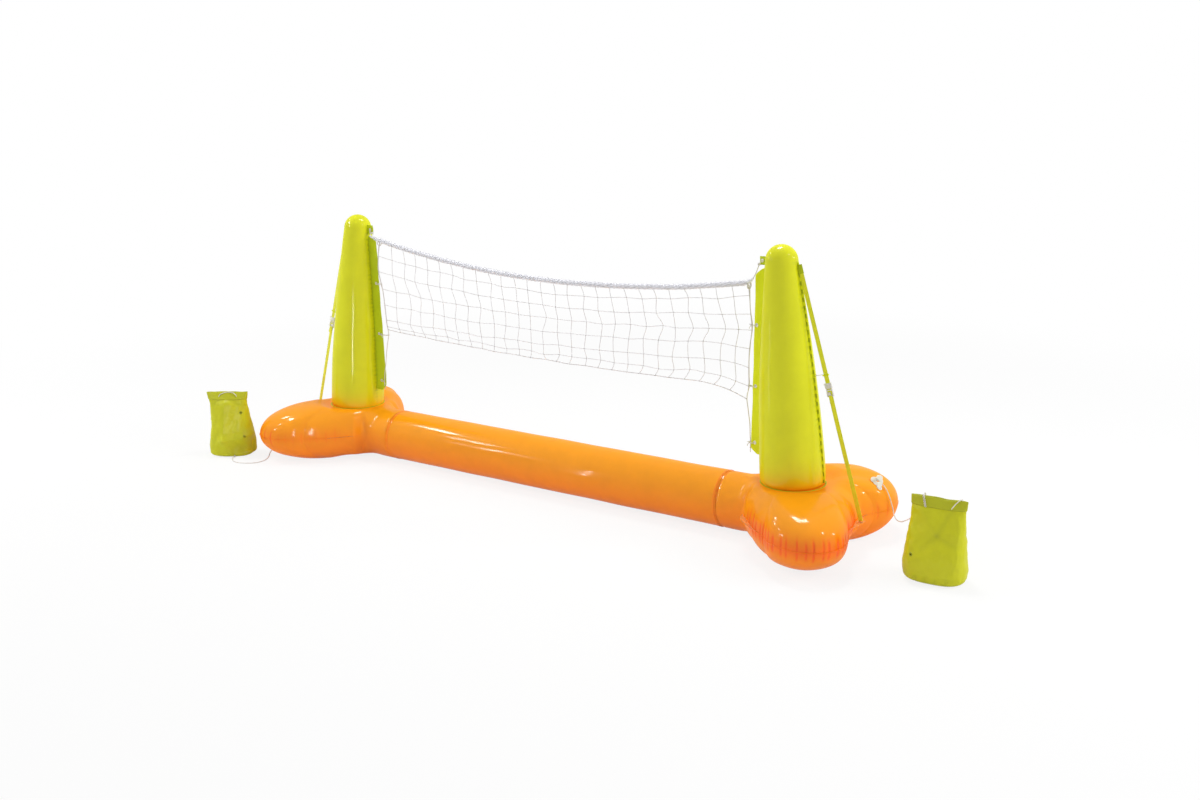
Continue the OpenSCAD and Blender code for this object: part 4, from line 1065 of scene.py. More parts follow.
def build_post_skin(side, sign, seed, skins):
    """The tapered skin with its dome, creased along the two seams and at the foot, with painted shade in
    the creases and a painted orange glow near its foot.
    """
    rng = np.random.default_rng(seed)
    sides = POST_SIDES

    def arc(x, z, r, degrees):
        return [(x + r * math.cos(math.radians(b)), z + r * math.sin(math.radians(b))) for b in degrees]

    low = arc(POST_LOW - POST_EDGE, POST_EDGE - EDGE_LOW, POST_EDGE, range(-60, 0, 6))
    dome = arc(0, POST_LEN, POST_HIGH, range(0, 88, 4))
    ts = np.arange(POST_EDGE - EDGE_LOW, POST_LEN, 5.0)
    tip = [(DOME_HOLE, POST_LEN + POST_HIGH)]
    profile = np.array(low + [(float(post_r(t)), t) for t in ts] + dome + tip)
    turn = circle(sides)
    r, z = profile[:, :1], profile[:, 1:]
    p = xyz(r * np.cos(turn), r * np.sin(turn), z)
    slope = np.gradient(profile, axis=0)
    dr, dz = slope[:, :1], slope[:, 1:]
    out = unit(xyz(dz * np.cos(turn), dz * np.sin(turn), -dr))
    push = mm(skins.wave) * waves(p * np.array([1, 1, 0.5]), 90, seed)
    push *= ease(0, 30, z) * ease(POST_LEN + POST_HIGH, POST_LEN, z)
    # painted shade in the pleats along both seams and in the wrinkles at the foot, with a thin darker line
    # along each seam for its weld
    shade_and_weld = np.zeros(push.shape)
    for way, top in ((0.0, POST_LEN - 8), (np.pi, POST_LEN - 20)):
        away = angle_gap(turn, way)[None] * r
        at = 24.0
        while at < top:
            at += POST_CREASE_GAP * rng.uniform(0.7, 1.35)
            depth, width = rng.uniform(0.3, 1.0), rng.uniform(2.4, 3.6)
            reach = rng.uniform(7, 17)
            line = depth * bell(z - at, width * (0.8 + away / reach * 0.6)) * bell(away, reach)
            push -= 0.9 * line
            shade_and_weld += 0.7 * line
        shade_and_weld += 0.35 * bell(away, 5.0) * ease(POST_LEN + 20, POST_LEN - 30, z)
    for _ in range(FOOT_CREASES):
        at, depth, reach = rng.uniform(0, 2 * np.pi), rng.uniform(0.2, 1), rng.uniform(8, 26)
        gap = angle_gap(turn, at)[None]
        line = depth * bell(gap, 0.035) * bell(np.maximum(z + EDGE_LOW, 0), reach)
        push -= 0.8 * line
        shade_and_weld += 0.35 * line
    world = in_world(p + push[..., None] * out, sign).reshape(-1, 3)
    shape = Shape().add(world, grid_faces(len(profile), sides, wrap=True))
    shape.fan(in_world((0, 0, POST_LEN + POST_HIGH), sign), range(shape.count - sides, shape.count))
    # painted light: the feet's orange is mixed into each post up from its foot, a painted reflection of the
    # foot
    glow = 0.8 * np.exp(-(np.maximum(z + EDGE_LOW - 4, 0) / PAINTED_GLOW_REACH) ** 1.4)
    glow = np.broadcast_to(glow, shade_and_weld.shape)
    piece(f"{side}_post_skin", shape, "lime_vinyl", replaces=[f"{side}_post"],
          marks={"shade_and_weld": np.append(np.clip(shade_and_weld, 0, 1).ravel(), 0), "glow": np.append(glow.ravel(), 0)})


def build_post_weld(side, sign, seed):
    """The low ring of welded skin between a post and its foot."""
    ring = [(97, 0.2), (98.5, 1.0), (100, 1.2), (101.2, 1.0), (101.8, 0.4), (101.8, -0.6), (97, -0.6)]
    pts, faces = lathe(ring + ring[:1], 160)
    pts[:, 2] += SEAT_Z + 0.2 * waves(pts, 20, seed + 4)
    pts[:, 0] += POST_X
    piece(f"{side}_post_weld", Shape().add(mirrored(pts, sign), faces), "lime_sheet",
          replaces=[f"{side}_post_ring"], weld=0.01, marks={"shade_and_weld": 0.4})


def build_post_fin(side, sign, seed):
    """The seam flange up a post's outer side, with painted-shade dashes and painted light between them."""
    ts = np.arange(6.0, POST_LEN - 4, 3.0)
    cols = np.linspace(-0.12, 1, 6)
    wave = 0.9 * line_waves(ts, 17, seed + 6, count=4)
    x = post_r(ts)[:, None] + (FIN_W - FIN_TRIM) * cols[None]
    y = np.clip(cols, 0, 1)[None] ** 1.5 * wave[:, None]
    pts = in_world(xyz(x, y, ts[:, None]), sign).reshape(-1, 3)
    # painted shade: dark dashes along the fin stand for the shade of its puckers, and between them painted
    # light brightens it
    at = (ts / FIN_DASH) % 1
    dash = ease(0.05, 0.2, at) * ease(0.78, 0.62, at)
    dash_shade = dash[:, None] * np.array([1, 1, 1, 0.9, 0.45, 0.1])
    piece(f"{side}_post_seam_fin", Shape().add(pts, grid_faces(len(ts), len(cols))), "lime_sheet",
          replaces=[f"{side}_post_fin"], closed=False, thick=FIN_T - 0.1,
          marks={"shade_and_weld": dash_shade, "glow": 0.9 * (1 - dash_shade)})


class NET_OT_posts(bpy.types.Operator):
    """Builds the two leaning posts with their welds and seam fins"""

    bl_idname = "net.posts"
    bl_label = "Posts"

    def execute(self, context):
        for side, seed in (("left", 51), ("right", 64)):
            build_post(side, seed, context.scene.net_skins)
        return {"FINISHED"}


# ------------------------------------------------------------------ net flaps
def tab_middle():
    z = (TAB_LOW + TAB_HIGH) / 2
    return float(post_side(z)), z


def punched(x, y, z, holes, radius, sign):
    """A sheet of points in rows at the heights z, without its faces round the holes."""
    rows, cols = x.shape
    flat = xyz(x, y, z[:, None]).reshape(-1, 3)
    faces = grid_faces(rows, cols)
    middles = flat[np.array(faces)].mean(1)
    far = [min(math.hypot(m[0] - hx, m[2] - hz) for hx, hz in holes) > radius for m in middles]
    return Shape().add(mirrored(flat, sign), [f for f, keep in zip(faces, far) if keep])


def build_flap(side, seed, skins):
    """The flat sheet on a post's inner side that the net is laced to, and its tab."""
    sign = SIDES[side]
    rows, cols = 194, 17
    z = np.linspace(FLAP_LOW, FLAP_HIGH, rows)
    inner = post_side(z, 1.6)
    to_corner = np.minimum(z - FLAP_LOW, FLAP_HIGH - z)
    outer = FLAP_X + FLAP_CUT * np.maximum(1 - to_corner / FLAP_CUT, 0) ** 1.5
    rise = np.clip((z - 290) / (FLAP_HIGH - 290), 0, 1)
    outer = outer + (7 * rise if side == "right" else -11 * (1 - rise))
    s = np.linspace(0, 1, cols)
    x = inner[:, None] + (outer - inner)[:, None] * s[None]
    still = np.ones(rows)
    for e in EYELET_ZS:
        still *= 1 - bell(z - e, 16.0)
    wave = line_waves(z, 95, seed, count=5) * still
    fine = line_waves(z, 21, seed + 1, count=4)
    y = mm(skins.ripple) * s[None] ** 1.6 * wave[:, None]
    y = y + 0.5 * fine[:, None] * bell(s - 0.02, 0.25)[None]
    y = y + 6.0 * np.clip((z - FLAP_HIGH + 24) / 24, 0, 1)[:, None] ** 1.6 * (0.25 + 0.75 * s[None])
    shape = punched(x, y, z, [(EYELET_X, e) for e in EYELET_ZS], 5.2, sign)
    # painted shade along the flap's edge by the post and in its fine ripples; the right flap is brightened
    # with painted light and the left one is not
    fold = 0.5 * bell(s, 0.12)[None] + 0.25 * np.abs(fine)[:, None] * bell(s, 0.3)[None]
    ob = piece(f"{side}_flap_sheet", shape, "lime_sheet", replaces=[f"{side}_net_flap"],
               closed=False, thick=FLAP_T - 0.1,
               marks={"shade_and_weld": np.clip(fold, 0, 1), "glow": 0.75 if side == "right" else 0.0})
    build_tab(side, seed)


def build_tab(side, seed):
    """The tab above a flap, and the white eyelets of both."""
    sign = SIDES[side]
    x_tab, z_tab = tab_middle()
    rows, cols = 15, 13
    trim = 3.5 if side == "right" else 0.0
    z = np.linspace(TAB_LOW + trim, TAB_HIGH - trim, rows)
    inner = post_side(z, 1.4)
    s = np.linspace(0, 1, cols)[None]
    x = inner[:, None] + (x_tab - TAB_LEN + 1.8 * trim - inner)[:, None] * s
    y = 1.2 * s ** 2 * line_waves(z, 26, seed + 3, count=3)[:, None]
    shape = punched(x, y, z, [(x_tab - TAB_LEN / 2, z_tab)], 5.0, sign)
    piece(f"{side}_tab_sheet", shape, "lime_sheet", replaces=[f"{side}_net_tab"],
          closed=False, thick=FLAP_T - 0.1, marks={"shade_and_weld": 0.1})

    h = FLAP_T / 2
    upper = [(EYELET_BARREL, h - 0.02), (EYELET_RIM, h - 0.02), (EYELET_RIM, h + 0.35),
             (EYELET_RIM - 0.7, h + EYELET_T), (EYELET_HOLE + 0.4, h + EYELET_T), (EYELET_HOLE, h + 0.5)]
    rim = [(r, -z) for r, z in upper[::-1]] + upper + [(EYELET_HOLE, -h - 0.5)]
    pts, faces = lathe(rim, 32)
    shape = Shape()
    for ex, ez in [(EYELET_X, e) for e in EYELET_ZS] + [(x_tab - TAB_LEN / 2, z_tab)]:
        shape.add(mirrored(placed(pts, (ex, 0, ez), y=(0, 0, 1), z=(0, 1, 0)), sign), faces)
    piece(f"{side}_eyelet_rings", shape, "white_plastic", replaces=[f"{side}_eyelets"], weld=0.005)


class NET_OT_flaps(bpy.types.Operator):
    """Builds the net flaps, the tabs above them and their eyelets"""

    bl_idname = "net.flaps"
    bl_label = "Net flaps"

    def execute(self, context):
        for side, seed in (("left", 71), ("right", 84)):
            build_flap(side, seed, context.scene.net_skins)
        return {"FINISHED"}


# ------------------------------------------------------------------ net
def rope_z(x):
    return ROPE_LOW + ROPE_RISE * ((x - ROPE_SHIFT) / (NET_HALF - ROPE_SHIFT)) ** 2


def hem_z(x):
    corner = np.maximum(0, (np.asarray(x, float) - 0.75 * NET_HALF) / (0.25 * NET_HALF))
    return HEM_LOW + HEM_RISE * ((x - HEM_SHIFT) / (NET_HALF + HEM_SHIFT)) ** 2 - CORNER_DROP * corner ** 2


# How far down each row of knots hangs, as a share of the net's height, and how far
# it is drawn along the net, at the left side, the middle and the right side.
ROW_DROP = np.array([[0, 0.155, 0.335, 0.53, 0.712, 0.89, 0.965, 1],
                     [0, 0.13, 0.29, 0.45, 0.62, 0.79, 0.915, 1],
                     [0, 0.085, 0.245, 0.385, 0.55, 0.72, 0.885, 1]])
ROW_DRAW = np.array([[0, 5, 1, 19, 19, 19, 34, 38], [0, 5, 7, 15, 11, 10, 12, 9],
                     [0, 11, 25, 40, 22, 20, 22, -2.0]])

# the lacing cords' distance from the flap's edge, and their height, from the rope down
LACES = {
    "right": [(16, 780), (14, 765), (13, 742), (10, 705), (LACE_IN, 660), (6, 620), (12, 560), (11, 510),
              (10, 470), (15, 445), (17, 424), (12, 395), (6, 350), (4, 315), (LACE_IN, 290), (2, 272)],
    "left": [(16, 813.5), (9, 784), (3.5, 734), (4, 699), (13, 660), (20, 632), (25, 580), (30, 515),
             (36, 470), (25, 425), (16, 370), (7, 320), (LACE_IN, 290), (2, 272)],
}


def side_lace(side):
    return np.array([(SIDES[side] * (FLAP_X - d), 0.0, z) for d, z in LACES[side]])


def net_knots(sway):
    """Places of the net's knots, column by column."""
    rng = np.random.default_rng(5)
    knots = np.zeros((NET_COLS + 1, NET_ROWS + 1, 3))
    for i in range(NET_COLS + 1):
        x = -NET_HALF + 2 * NET_HALF * i / NET_COLS
        t = x / NET_HALF
        share = np.array([max(-t, 0), 1 - abs(t), max(t, 0)])
        drop, draw = share @ ROW_DROP, share @ ROW_DRAW
        edge = ease(NET_HALF, NET_HALF - 90, abs(x))
        top = rope_z(x) - ROPE_R
        for j in range(NET_ROWS + 1):
            free = float(edge) * (0 if j == 0 else 1)
            px = x + (draw[j] * free + rng.normal() * sway * 0.9 * free)
            y = rng.normal() * sway * free
            uneven = rng.normal() * sway * 0.6 * free if j < NET_ROWS else 0
            knots[i, j] = (px, y, top + (hem_z(px) - top) * drop[j] + uneven)
    for side, i in (("left", 0), ("right", NET_COLS)):
        lace = spline(side_lace(side), 8)
        order = np.argsort(lace[:, 2])
        for j in range(1, NET_ROWS + 1):
            z = knots[i, j, 2]
            knots[i, j, 0] = np.interp(z, lace[order, 2], lace[order, 0]) - SIDES[side] * 1.6
            knots[i, j, 1] = 0
    return knots


def ball(centre, radius, rng):
    """A small uneven knot."""
    pts, faces = lathe([(0.05, -1), (0.6, -0.8), (0.95, -0.3), (1, 0.2), (0.7, 0.72), (0.05, 1)], 8)
    pts = pts * radius * (1 + 0.18 * rng.normal(size=(len(pts), 1)))
    tilt = unit(rng.normal(size=3))
    side = unit(np.cross(tilt, (0.3, 0.8, 0.5)))
    return placed(pts, centre, side, np.cross(tilt, side), tilt), faces


def rope_path(x):
    """The top rope's middle line, and how full it is: it thins as it turns up at its ends."""
    left = np.clip((-x - ROPE_END + 8) / 42, 0, 1)
    right = np.clip((x - ROPE_END + 22) / 36, 0, 1)
    end = left + right
    path = xyz(x, -9.0 * end, rope_z(x) + 6 * left ** 2 + 12 * right ** 2)
    return path, 1 - 0.68 * end ** 0.8


class NET_OT_net(bpy.types.Operator):
    """Knots the net and hangs it from its top rope with laces and ties"""

    bl_idname = "net.net"
    bl_label = "Net, rope and laces"

    def execute(self, context):
        cords = context.scene.net_cords
        rng = np.random.default_rng(8)
        self.knot_net(cords, rng)
        self.lay_rope(cords)
        lace = mm(cords.lace)
        for side, sign in SIDES.items():
            self.tie_rope(side, sign, lace)
            self.lace_side(side, sign, lace, rng)
            self.tie_flap(side, sign, lace, rng)
        return {"FINISHED"}

    def knot_net(self, cords, rng):
        """The square mesh and its knots."""
        r = mm(cords.twine)
        knots = net_knots(mm(cords.sway))
        shape = Shape()
        for column in knots:
            shape.cord(spline([column[0] + (0, 0, 3.0), *column], 4), r, 6)
        for j in range(1, NET_ROWS + 1):
            shape.cord(spline(knots[:, j], 3), r * (1.5 if j == NET_ROWS else 1), 6)
        for knot in knots[:, 1:].reshape(-1, 3):
            shape.add(*ball(knot, 1.9 * r, rng))
        piece("net_twines", shape, "net_twine", replaces=["net_mesh"])

    def lay_rope(self, cords):
        """Three strands of the top rope, with loose fibres that are longer at its ends."""
        path, full = rope_path(np.linspace(-ROPE_END - 34, ROPE_END + 14, 800))
        path[:, 2] += 0.7 * waves(path, 130, 9)
        path[:, 1] += 0.9 * waves(path, 150, 10)
        u, v = cross_frames(path)
        strand = mm(cords.strand)
        lay = run_lengths(path) / mm(cords.lay)
        shape = Shape()
        for k in range(3):
            turn = 2 * np.pi * (lay + k / 3)
            off = (ROPE_R - strand) * full
            line = path + off[:, None] * (np.cos(turn)[:, None] * u + np.sin(turn)[:, None] * v)
            shape.cord(line, strand * full * (1 + 0.05 * waves(line, 9, 40 + k)), 10)
        fluff = np.random.default_rng(23)
        ends = np.where(fluff.random(90) < 0.5, -1, 1) * (ROPE_END - fluff.uniform(-14, 22, 90))
        for at in np.concatenate([fluff.uniform(-ROPE_END - 30, ROPE_END + 10, 1500), ends]):
            way, swirl = fluff.uniform(0, 2 * np.pi), fluff.uniform(-0.9, 0.9)
            reach = fluff.uniform(1.2, 3.2) * (1.8 if abs(at) > ROPE_END - 22 else 1)
            lean = fluff.uniform(-5, 5)
            base, wide = rope_path(np.array([at]))
            q = np.array([0, 0.35, 0.7, 1.0])
            out, swung = ROPE_R * wide[0] - 1.4 + reach * q, way + swirl * q
            hair = base[0] + xyz(lean * q, out * np.cos(swung), out * np.sin(swung))
            shape.cord(hair, [0.22, 0.2, 0.17, 0.1], 3)
        piece("rope_strands", shape, "white_cord", replaces=["top_rope"], material="fluffy_rope")

    def tie_rope(self, side, sign, lace):
        """The rope's thin end, which runs up through the tab's eyelet and back to a knot."""
        x_tab, z_tab = tab_middle()
        ex = x_tab - TAB_LEN / 2
        run = {"right": [(772, -8, 801), (778, -8.5, 806), (785, -8, 820)],
               "left": [(792, -8.5, 833), (794, -8.5, 837)]}[side]
        run += [(ex + x, y, z_tab + z) for x, y, z in
                ((-6, -7, -11), (-2, -4.5, -3), (0, 0, 0), (-1, 4.5, -3),
                 (-7, 5, -9), (-11, 1, -13), (-10, -4, -13))]
        shape = Shape().cord(mirrored(spline(run, 5), sign), lace)
        turn = np.linspace(0, 2 * np.pi * 1.7, 24)
        for lift in (0, 3.5):
            z = z_tab - 13 + lift + 2.0 * np.cos(turn + 1)
            loop = xyz(ex - 10 + 3.0 * np.cos(turn), -1 + 4.2 * np.sin(turn), z)
            shape.cord(mirrored(loop, sign), lace * 0.9, 7)
        piece(f"{side}_rope_cord", shape, "white_cord", replaces=[f"{side}_rope_tie"])

    def lace_side(self, side, sign, lace, rng):
        """The lacing cord with its turns round the rope, and its knot and tail at the foot."""
        run = spline(side_lace(side), 6)
        run[:, 1] += 1.0 * waves(run, 60, 12 + sign)
        shape = Shape().cord(run, lace * (1 + 0.06 * waves(run, 12, 14)))
        top, reach = run[0], ROPE_R + 1.2
        turn = np.linspace(0, 2 * np.pi * 2.2, 44)
        wrap = xyz(top[0] + 4 * (turn / turn[-1] - 0.5), reach * np.cos(turn),
                   top[2] + reach * np.sin(turn) - 1)
        shape.cord(wrap, lace * 0.8, 7)
        tail = run[-1] + np.array([(0, 0, 2), (0.5, 1, -3), (-1.5 * sign, 2, -9), (0.5 * sign, 1, -15)])
        shape.cord(spline(tail, 5), lace * 0.75, 7)
        shape.add(*ball(run[-1], lace * 1.9, rng))
        piece(f"{side}_lacing_cord", shape, "white_cord", replaces=[f"{side}_side_lace"])

    def tie_flap(self, side, sign, lace, rng):
        """The knotted loops through the flap's eyelets and round the lacing cord."""
        shape = Shape()
        turn = np.linspace(0, 2 * np.pi * 1.12, 40)
        for e, held in zip(EYELET_ZS, EYELET_IN[side]):
            inner, outer = FLAP_X - held - 4, EYELET_X
            half = (outer - inner) / 2
            z = e + 1.6 * np.sin(2 * turn) + 1.4 * (turn / turn[-1] - 0.5)
            z = z - 0.06 * half * (1 - np.cos(2 * turn))
            loop = xyz((inner + outer) / 2 + half * np.cos(turn), (3.4 + 0.5 * turn) * np.sin(turn), z)
            shape.cord(mirrored(loop, sign), lace * 0.72, 7)
            knot = np.array([sign * (FLAP_X - 3), -3.4, e])
            shape.add(*ball(knot, 3.0, rng))
            for way in (-1, 1):
                tail = [(0, 0, 0), (-2, -2, way * 2), (-5, -3.5, way * 4 - 2), (-7, -3, way * 7 - 5)]
                shape.cord(spline(knot + mirrored(tail, sign), 4), lace * 0.7, 6)
        piece(f"{side}_tie_loops", shape, "white_cord", replaces=[f"{side}_net_ties"])


# ------------------------------------------------------------------ guy straps
def fin_edge(z):
    return float(post_side(z, FIN_W, 1))


def strap_line():
    """X of a strap's top, its angle from upright and its depth in front of the fin."""
    top = fin_edge(STRAP_HIGH)
    angle = math.atan2(STRAP_FOOT_X - top, STRAP_HIGH - PAD_Z)
    return top, angle, -FIN_T / 2 - STRAP_T / 2


def on_strap(points, z, sign):
    """Points of a strap's own frame at the height z: Z up the strap, X away from the post."""
    top, angle, depth = strap_line()
    origin = (top + (STRAP_HIGH - z) * math.tan(angle), depth, z)
    return mirrored(placed(points, origin, (math.cos(angle), 0, math.sin(angle)), (0, 1, 0),
                           (-math.sin(angle), 0, math.cos(angle))), sign)


def band(run, width, thick, across=7):
    """A strap along run: points with a side vector and a depth vector for each."""
    points, sides, depths = (np.asarray(v, float)[:, None] for v in run)
    s = np.linspace(-1, 1, across)
    edge = (thick / 2 * np.sqrt(np.maximum(0, 1 - np.abs(s) ** 8)))[None, :, None]
    front = points + sides * (s * width / 2)[None, :, None] - depths * edge
    back = points + sides * (s[::-1] * width / 2)[None, :, None] + depths * edge
    loop = np.concatenate([front, back], 1)
    n, m = loop.shape[:2]
    along = run_lengths(points[:, 0]) / 1000
    u = np.concatenate([s, s[::-1]]) * width / 2000
    faces = grid_faces(n, m, wrap=True)
    corners = [[(u[k], low), (u[(k + 1) % m], low), (u[(k + 1) % m], high), (u[k], high)]
               for low, high in zip(along, along[1:]) for k in range(m)]
    for i in (0, n - 1):
        faces.append(tuple(i * m + k for k in range(m)))
        corners.append([(v, along[i]) for v in u])
    return loop.reshape(-1, 3), faces, corners


def build_strap(side, seed):
    """A strap's band, which follows the buckle's way and twists a little elsewhere."""
    sign = SIDES[side]
    _, angle, _ = strap_line()
    length = (STRAP_HIGH - PAD_Z) / math.cos(angle)
    buckle = (BUCKLE_Z - STRAP_HIGH) / math.cos(angle)
    z = np.linspace(-length + 1.5, STRAP_OVER, 150)
    way = np.clip(z - buckle, -SLIDE_LOW, SLIDE_HIGH) * math.tan(angle - SLIDE_TILT)
    bow = way * ease(0, -buckle - SLIDE_HIGH, -z) * ease(-length, buckle - SLIDE_LOW, z)
    held = ease(0, 60, -z) * ease(-length, -length + 60, z)
    twist = STRAP_TWIST * held * line_waves(z, 300, seed, count=3)
    run = (xyz(bow, 0, z), xyz(np.cos(twist), np.sin(twist), 0), xyz(-np.sin(twist), np.cos(twist), 0))
    pts, faces, corners = band(run, STRAP_W, STRAP_T - 0.1)
    pts[:, 2] = np.minimum(pts[:, 2], STRAP_OVER)
    pts = on_strap(pts, STRAP_HIGH, 1)
    pts[:, 2] = np.maximum(pts[:, 2], PAD_Z + 0.1)
    piece(f"{side}_strap_band", Shape().add(mirrored(pts, sign), faces, corners), "lime_strap",
          replaces=[f"{side}_guy_strap"])
    build_buckle(side)
    build_keeper(side)
    build_patches(side)


def add_boxes(shape, boxes, place, edge, segments=2):
    """Rounded boxes, each a size and a middle, with their points moved by place."""
    for size, at in boxes:
        pts, faces = rounded_box(size, edge, segments)
        shape.add(place(pts + at), faces)
    return shape


def build_buckle(side):
    """The slider and the strap's loose end, which ride together."""
    sign = SIDES[side]

    def place(pts):
        return on_strap(pts, BUCKLE_Z, sign)

    face_y = (PASS_T + BUCKLE_FACE) / 2
    rails = [((rail, BUCKLE_T, high), (s * (PASS_W + rail) / 2, 0, z)) for s in (-1, 1)
             for rail, high, z in ((4.0, 17.0, 12.5), (2.4, 13.0, -0.5), (3.8, 15.0, -13.5))]
    plates = [((wide, BUCKLE_FACE, high), (x, y, z)) for y in (-face_y, face_y)
              for wide, high, x, z in ((PASS_W + 2, 16.4, 0, 12.5), (PASS_W + 2, 3.6, 0, -0.5),
                                       (PASS_W + 2, 5.0, 0, -18.4), (9.0, 14.0, -3.4, -13.5))]
    ribs = [((PASS_W + (6 if z > 0 else -2), 0.9, 1.3), (0 if z > 0 or z < -16 else -2.4, -BUCKLE_T / 2, z))
            for z in (6.4, 10.2, 14.0, 17.8, -9.0, -13.0, -18.4)]
    way, lug_zs = (1, (17.0, -16.0)) if side == "left" else (-1, (18.5,))
    lugs = [((5.0, 1.8, 1.8), (way * (BUCKLE_W / 2 + 1.6), -1.6, z)) for z in lug_zs]
    shape = Shape()
    for boxes, edge in ((rails, 1.1), (plates, 0.7), (ribs, 0.4), (lugs, 0.6)):
        add_boxes(shape, boxes, place, edge)
    piece(f"{side}_buckle_frame", shape, "white_plastic", body=f"{side}_buckle_body",
          replaces=[f"{side}_buckle"])

    low = -BUCKLE_LEN / 2 + BUCKLE_RAIL
    z = np.linspace(low - TAIL_LEN, low, 16)
    s = (z[-1] - z) / TAIL_LEN
    lift = -BUCKLE_T / 2 - STRAP_T / 2 - 2.2 * s ** 2
    depths = unit(xyz(0, 1, -4.4 * s / TAIL_LEN))
    run = (xyz(0.6 * s, lift, z), [[1.0, 0, 0]] * len(z), depths)
    pts, faces, corners = band(run, STRAP_W - 2, STRAP_T - 0.1)
    piece(f"{side}_strap_end", Shape().add(place(pts), faces, corners), "lime_strap",
          body=f"{side}_buckle_body", replaces=[f"{side}_strap_tail"])


def build_keeper(side):
    """The link above a buckle, its tab on the post's fin and its string."""
    sign = SIDES[side]
    top, angle, depth = strap_line()

    def place(pts):
        return on_strap(pts, KEEPER_Z, sign)

    shape = Shape()
    rail = (KEEPER_W - PASS_W) / 2
    for s in (-1, 1):
        x, y = s * (PASS_W + rail) / 2, s * (PASS_T + BUCKLE_FACE) / 2
        add_boxes(shape, [((rail, BUCKLE_T, KEEPER_H), (x, 0, 0))], place, 0.9, 3)
        add_boxes(shape, [((PASS_W + 1.4, BUCKLE_FACE, KEEPER_H), (0, y, 0))], place, 0.7, 3)
    start = fin_edge(KEEPER_Z) - 5
    end = top + (STRAP_HIGH - KEEPER_Z) * math.tan(angle) - (KEEPER_W / 2 - 0.6) / math.cos(angle)
    tab = [(start, depth, KEEPER_Z - 6.5), (start + 5, depth, KEEPER_Z - 6),
           (start + 8.5, depth - 0.3, KEEPER_Z - 5)]
    pts, faces, corners = band((tab, [[0, 0, 1.0]] * 3, [[0, 1.0, 0]] * 3), 7.0, 1.1, 5)
    shape.add(mirrored(pts, sign), faces, corners)
    # painted light: the keeper's tab is brightened towards the lighter lime
    piece(f"{side}_keeper_band", shape, "lime_sheet", replaces=[f"{side}_keeper"], marks={"glow": 0.6})
    string = [(start + 5.5, depth - 1.2, KEEPER_Z - 6),
              (start + 0.5 * (end - start), depth - 0.6, KEEPER_Z - 3.5), (end + 1, depth, KEEPER_Z)]
    piece(f"{side}_keeper_string", Shape().cord(mirrored(spline(string, 6), sign), 0.95), "white_cord",
          replaces=[f"{side}_keeper"])


def build_patches(side):
    """The ribbed patches that weld a strap to its post and to its foot."""
    sign = SIDES[side]
    y = -STRAP_T / 2 - PATCH_T

    def on_post(pts):
        return on_strap(pts, STRAP_HIGH, sign)

    def on_foot(pts):
        return mirrored(pts + (STRAP_FOOT_X, 0, 0), sign)

    patch = ((STRAP_W, PATCH_T, PATCH_LEN), (1.5, y + PATCH_T / 2, 0))
    ribs = [((STRAP_W - 3, 0.7, 1.1), (1.5, y - 0.05, k * 4.6)) for k in range(-2, 3)]
    shape = add_boxes(add_boxes(Shape(), [patch], on_post, 0.45), ribs, on_post, 0.3)
    piece(f"{side}_strap_weld_patch", shape, "lime_sheet", replaces=[f"{side}_strap_post_patch"],
          marks={"shade_and_weld": 0.35})
    pad = ((STRAP_W + 3, FOOT_PATCH_LEN, PATCH_T), (0, 0, SEAM_Z + FLANGE_T / 2 + PATCH_T / 2))
    ribs = [((STRAP_W - 2, 1.2, 0.7), (0, (k - 1.5) * 6, PAD_Z)) for k in range(4)]
    shape = add_boxes(add_boxes(Shape(), [pad], on_foot, 0.45), ribs, on_foot, 0.3)
    piece(f"{side}_strap_foot_pad", shape, "clear_vinyl", replaces=[f"{side}_strap_foot_patch"])


class NET_OT_straps(bpy.types.Operator):
    """Builds the guy straps with their buckles, keepers and patches"""

    bl_idname = "net.straps"
    bl_label = "Guy straps"

    def execute(self, context):
        for side, seed in (("left", 91), ("right", 97)):
            build_strap(side, seed)
        return {"FINISHED"}


# ------------------------------------------------------------------ tether tabs
def heart_radius(turn):
    """Distance from the tab's hole to its heart-shaped edge in each direction."""
    lobe, length, tip = HEART_W / 4, HEART_W * 0.57, 7.0
    reach = np.zeros(len(turn))
    way = np.stack([np.cos(turn), np.sin(turn)], -1)
    for r in np.arange(0.0, 30.0, 0.05):
        p = way * r
        x, y = p[:, 0], np.abs(p[:, 1])
        inside = np.hypot(x + lobe, y - lobe) < lobe
        inside |= np.hypot(x - (length - tip), y) < tip
        t = (x + lobe) / (length - tip + lobe)
        inside |= (t >= 0) & (t <= 1) & (y < 2 * lobe * (1 - t) + tip * t)
        reach = np.where(inside, r, reach)
    return reach


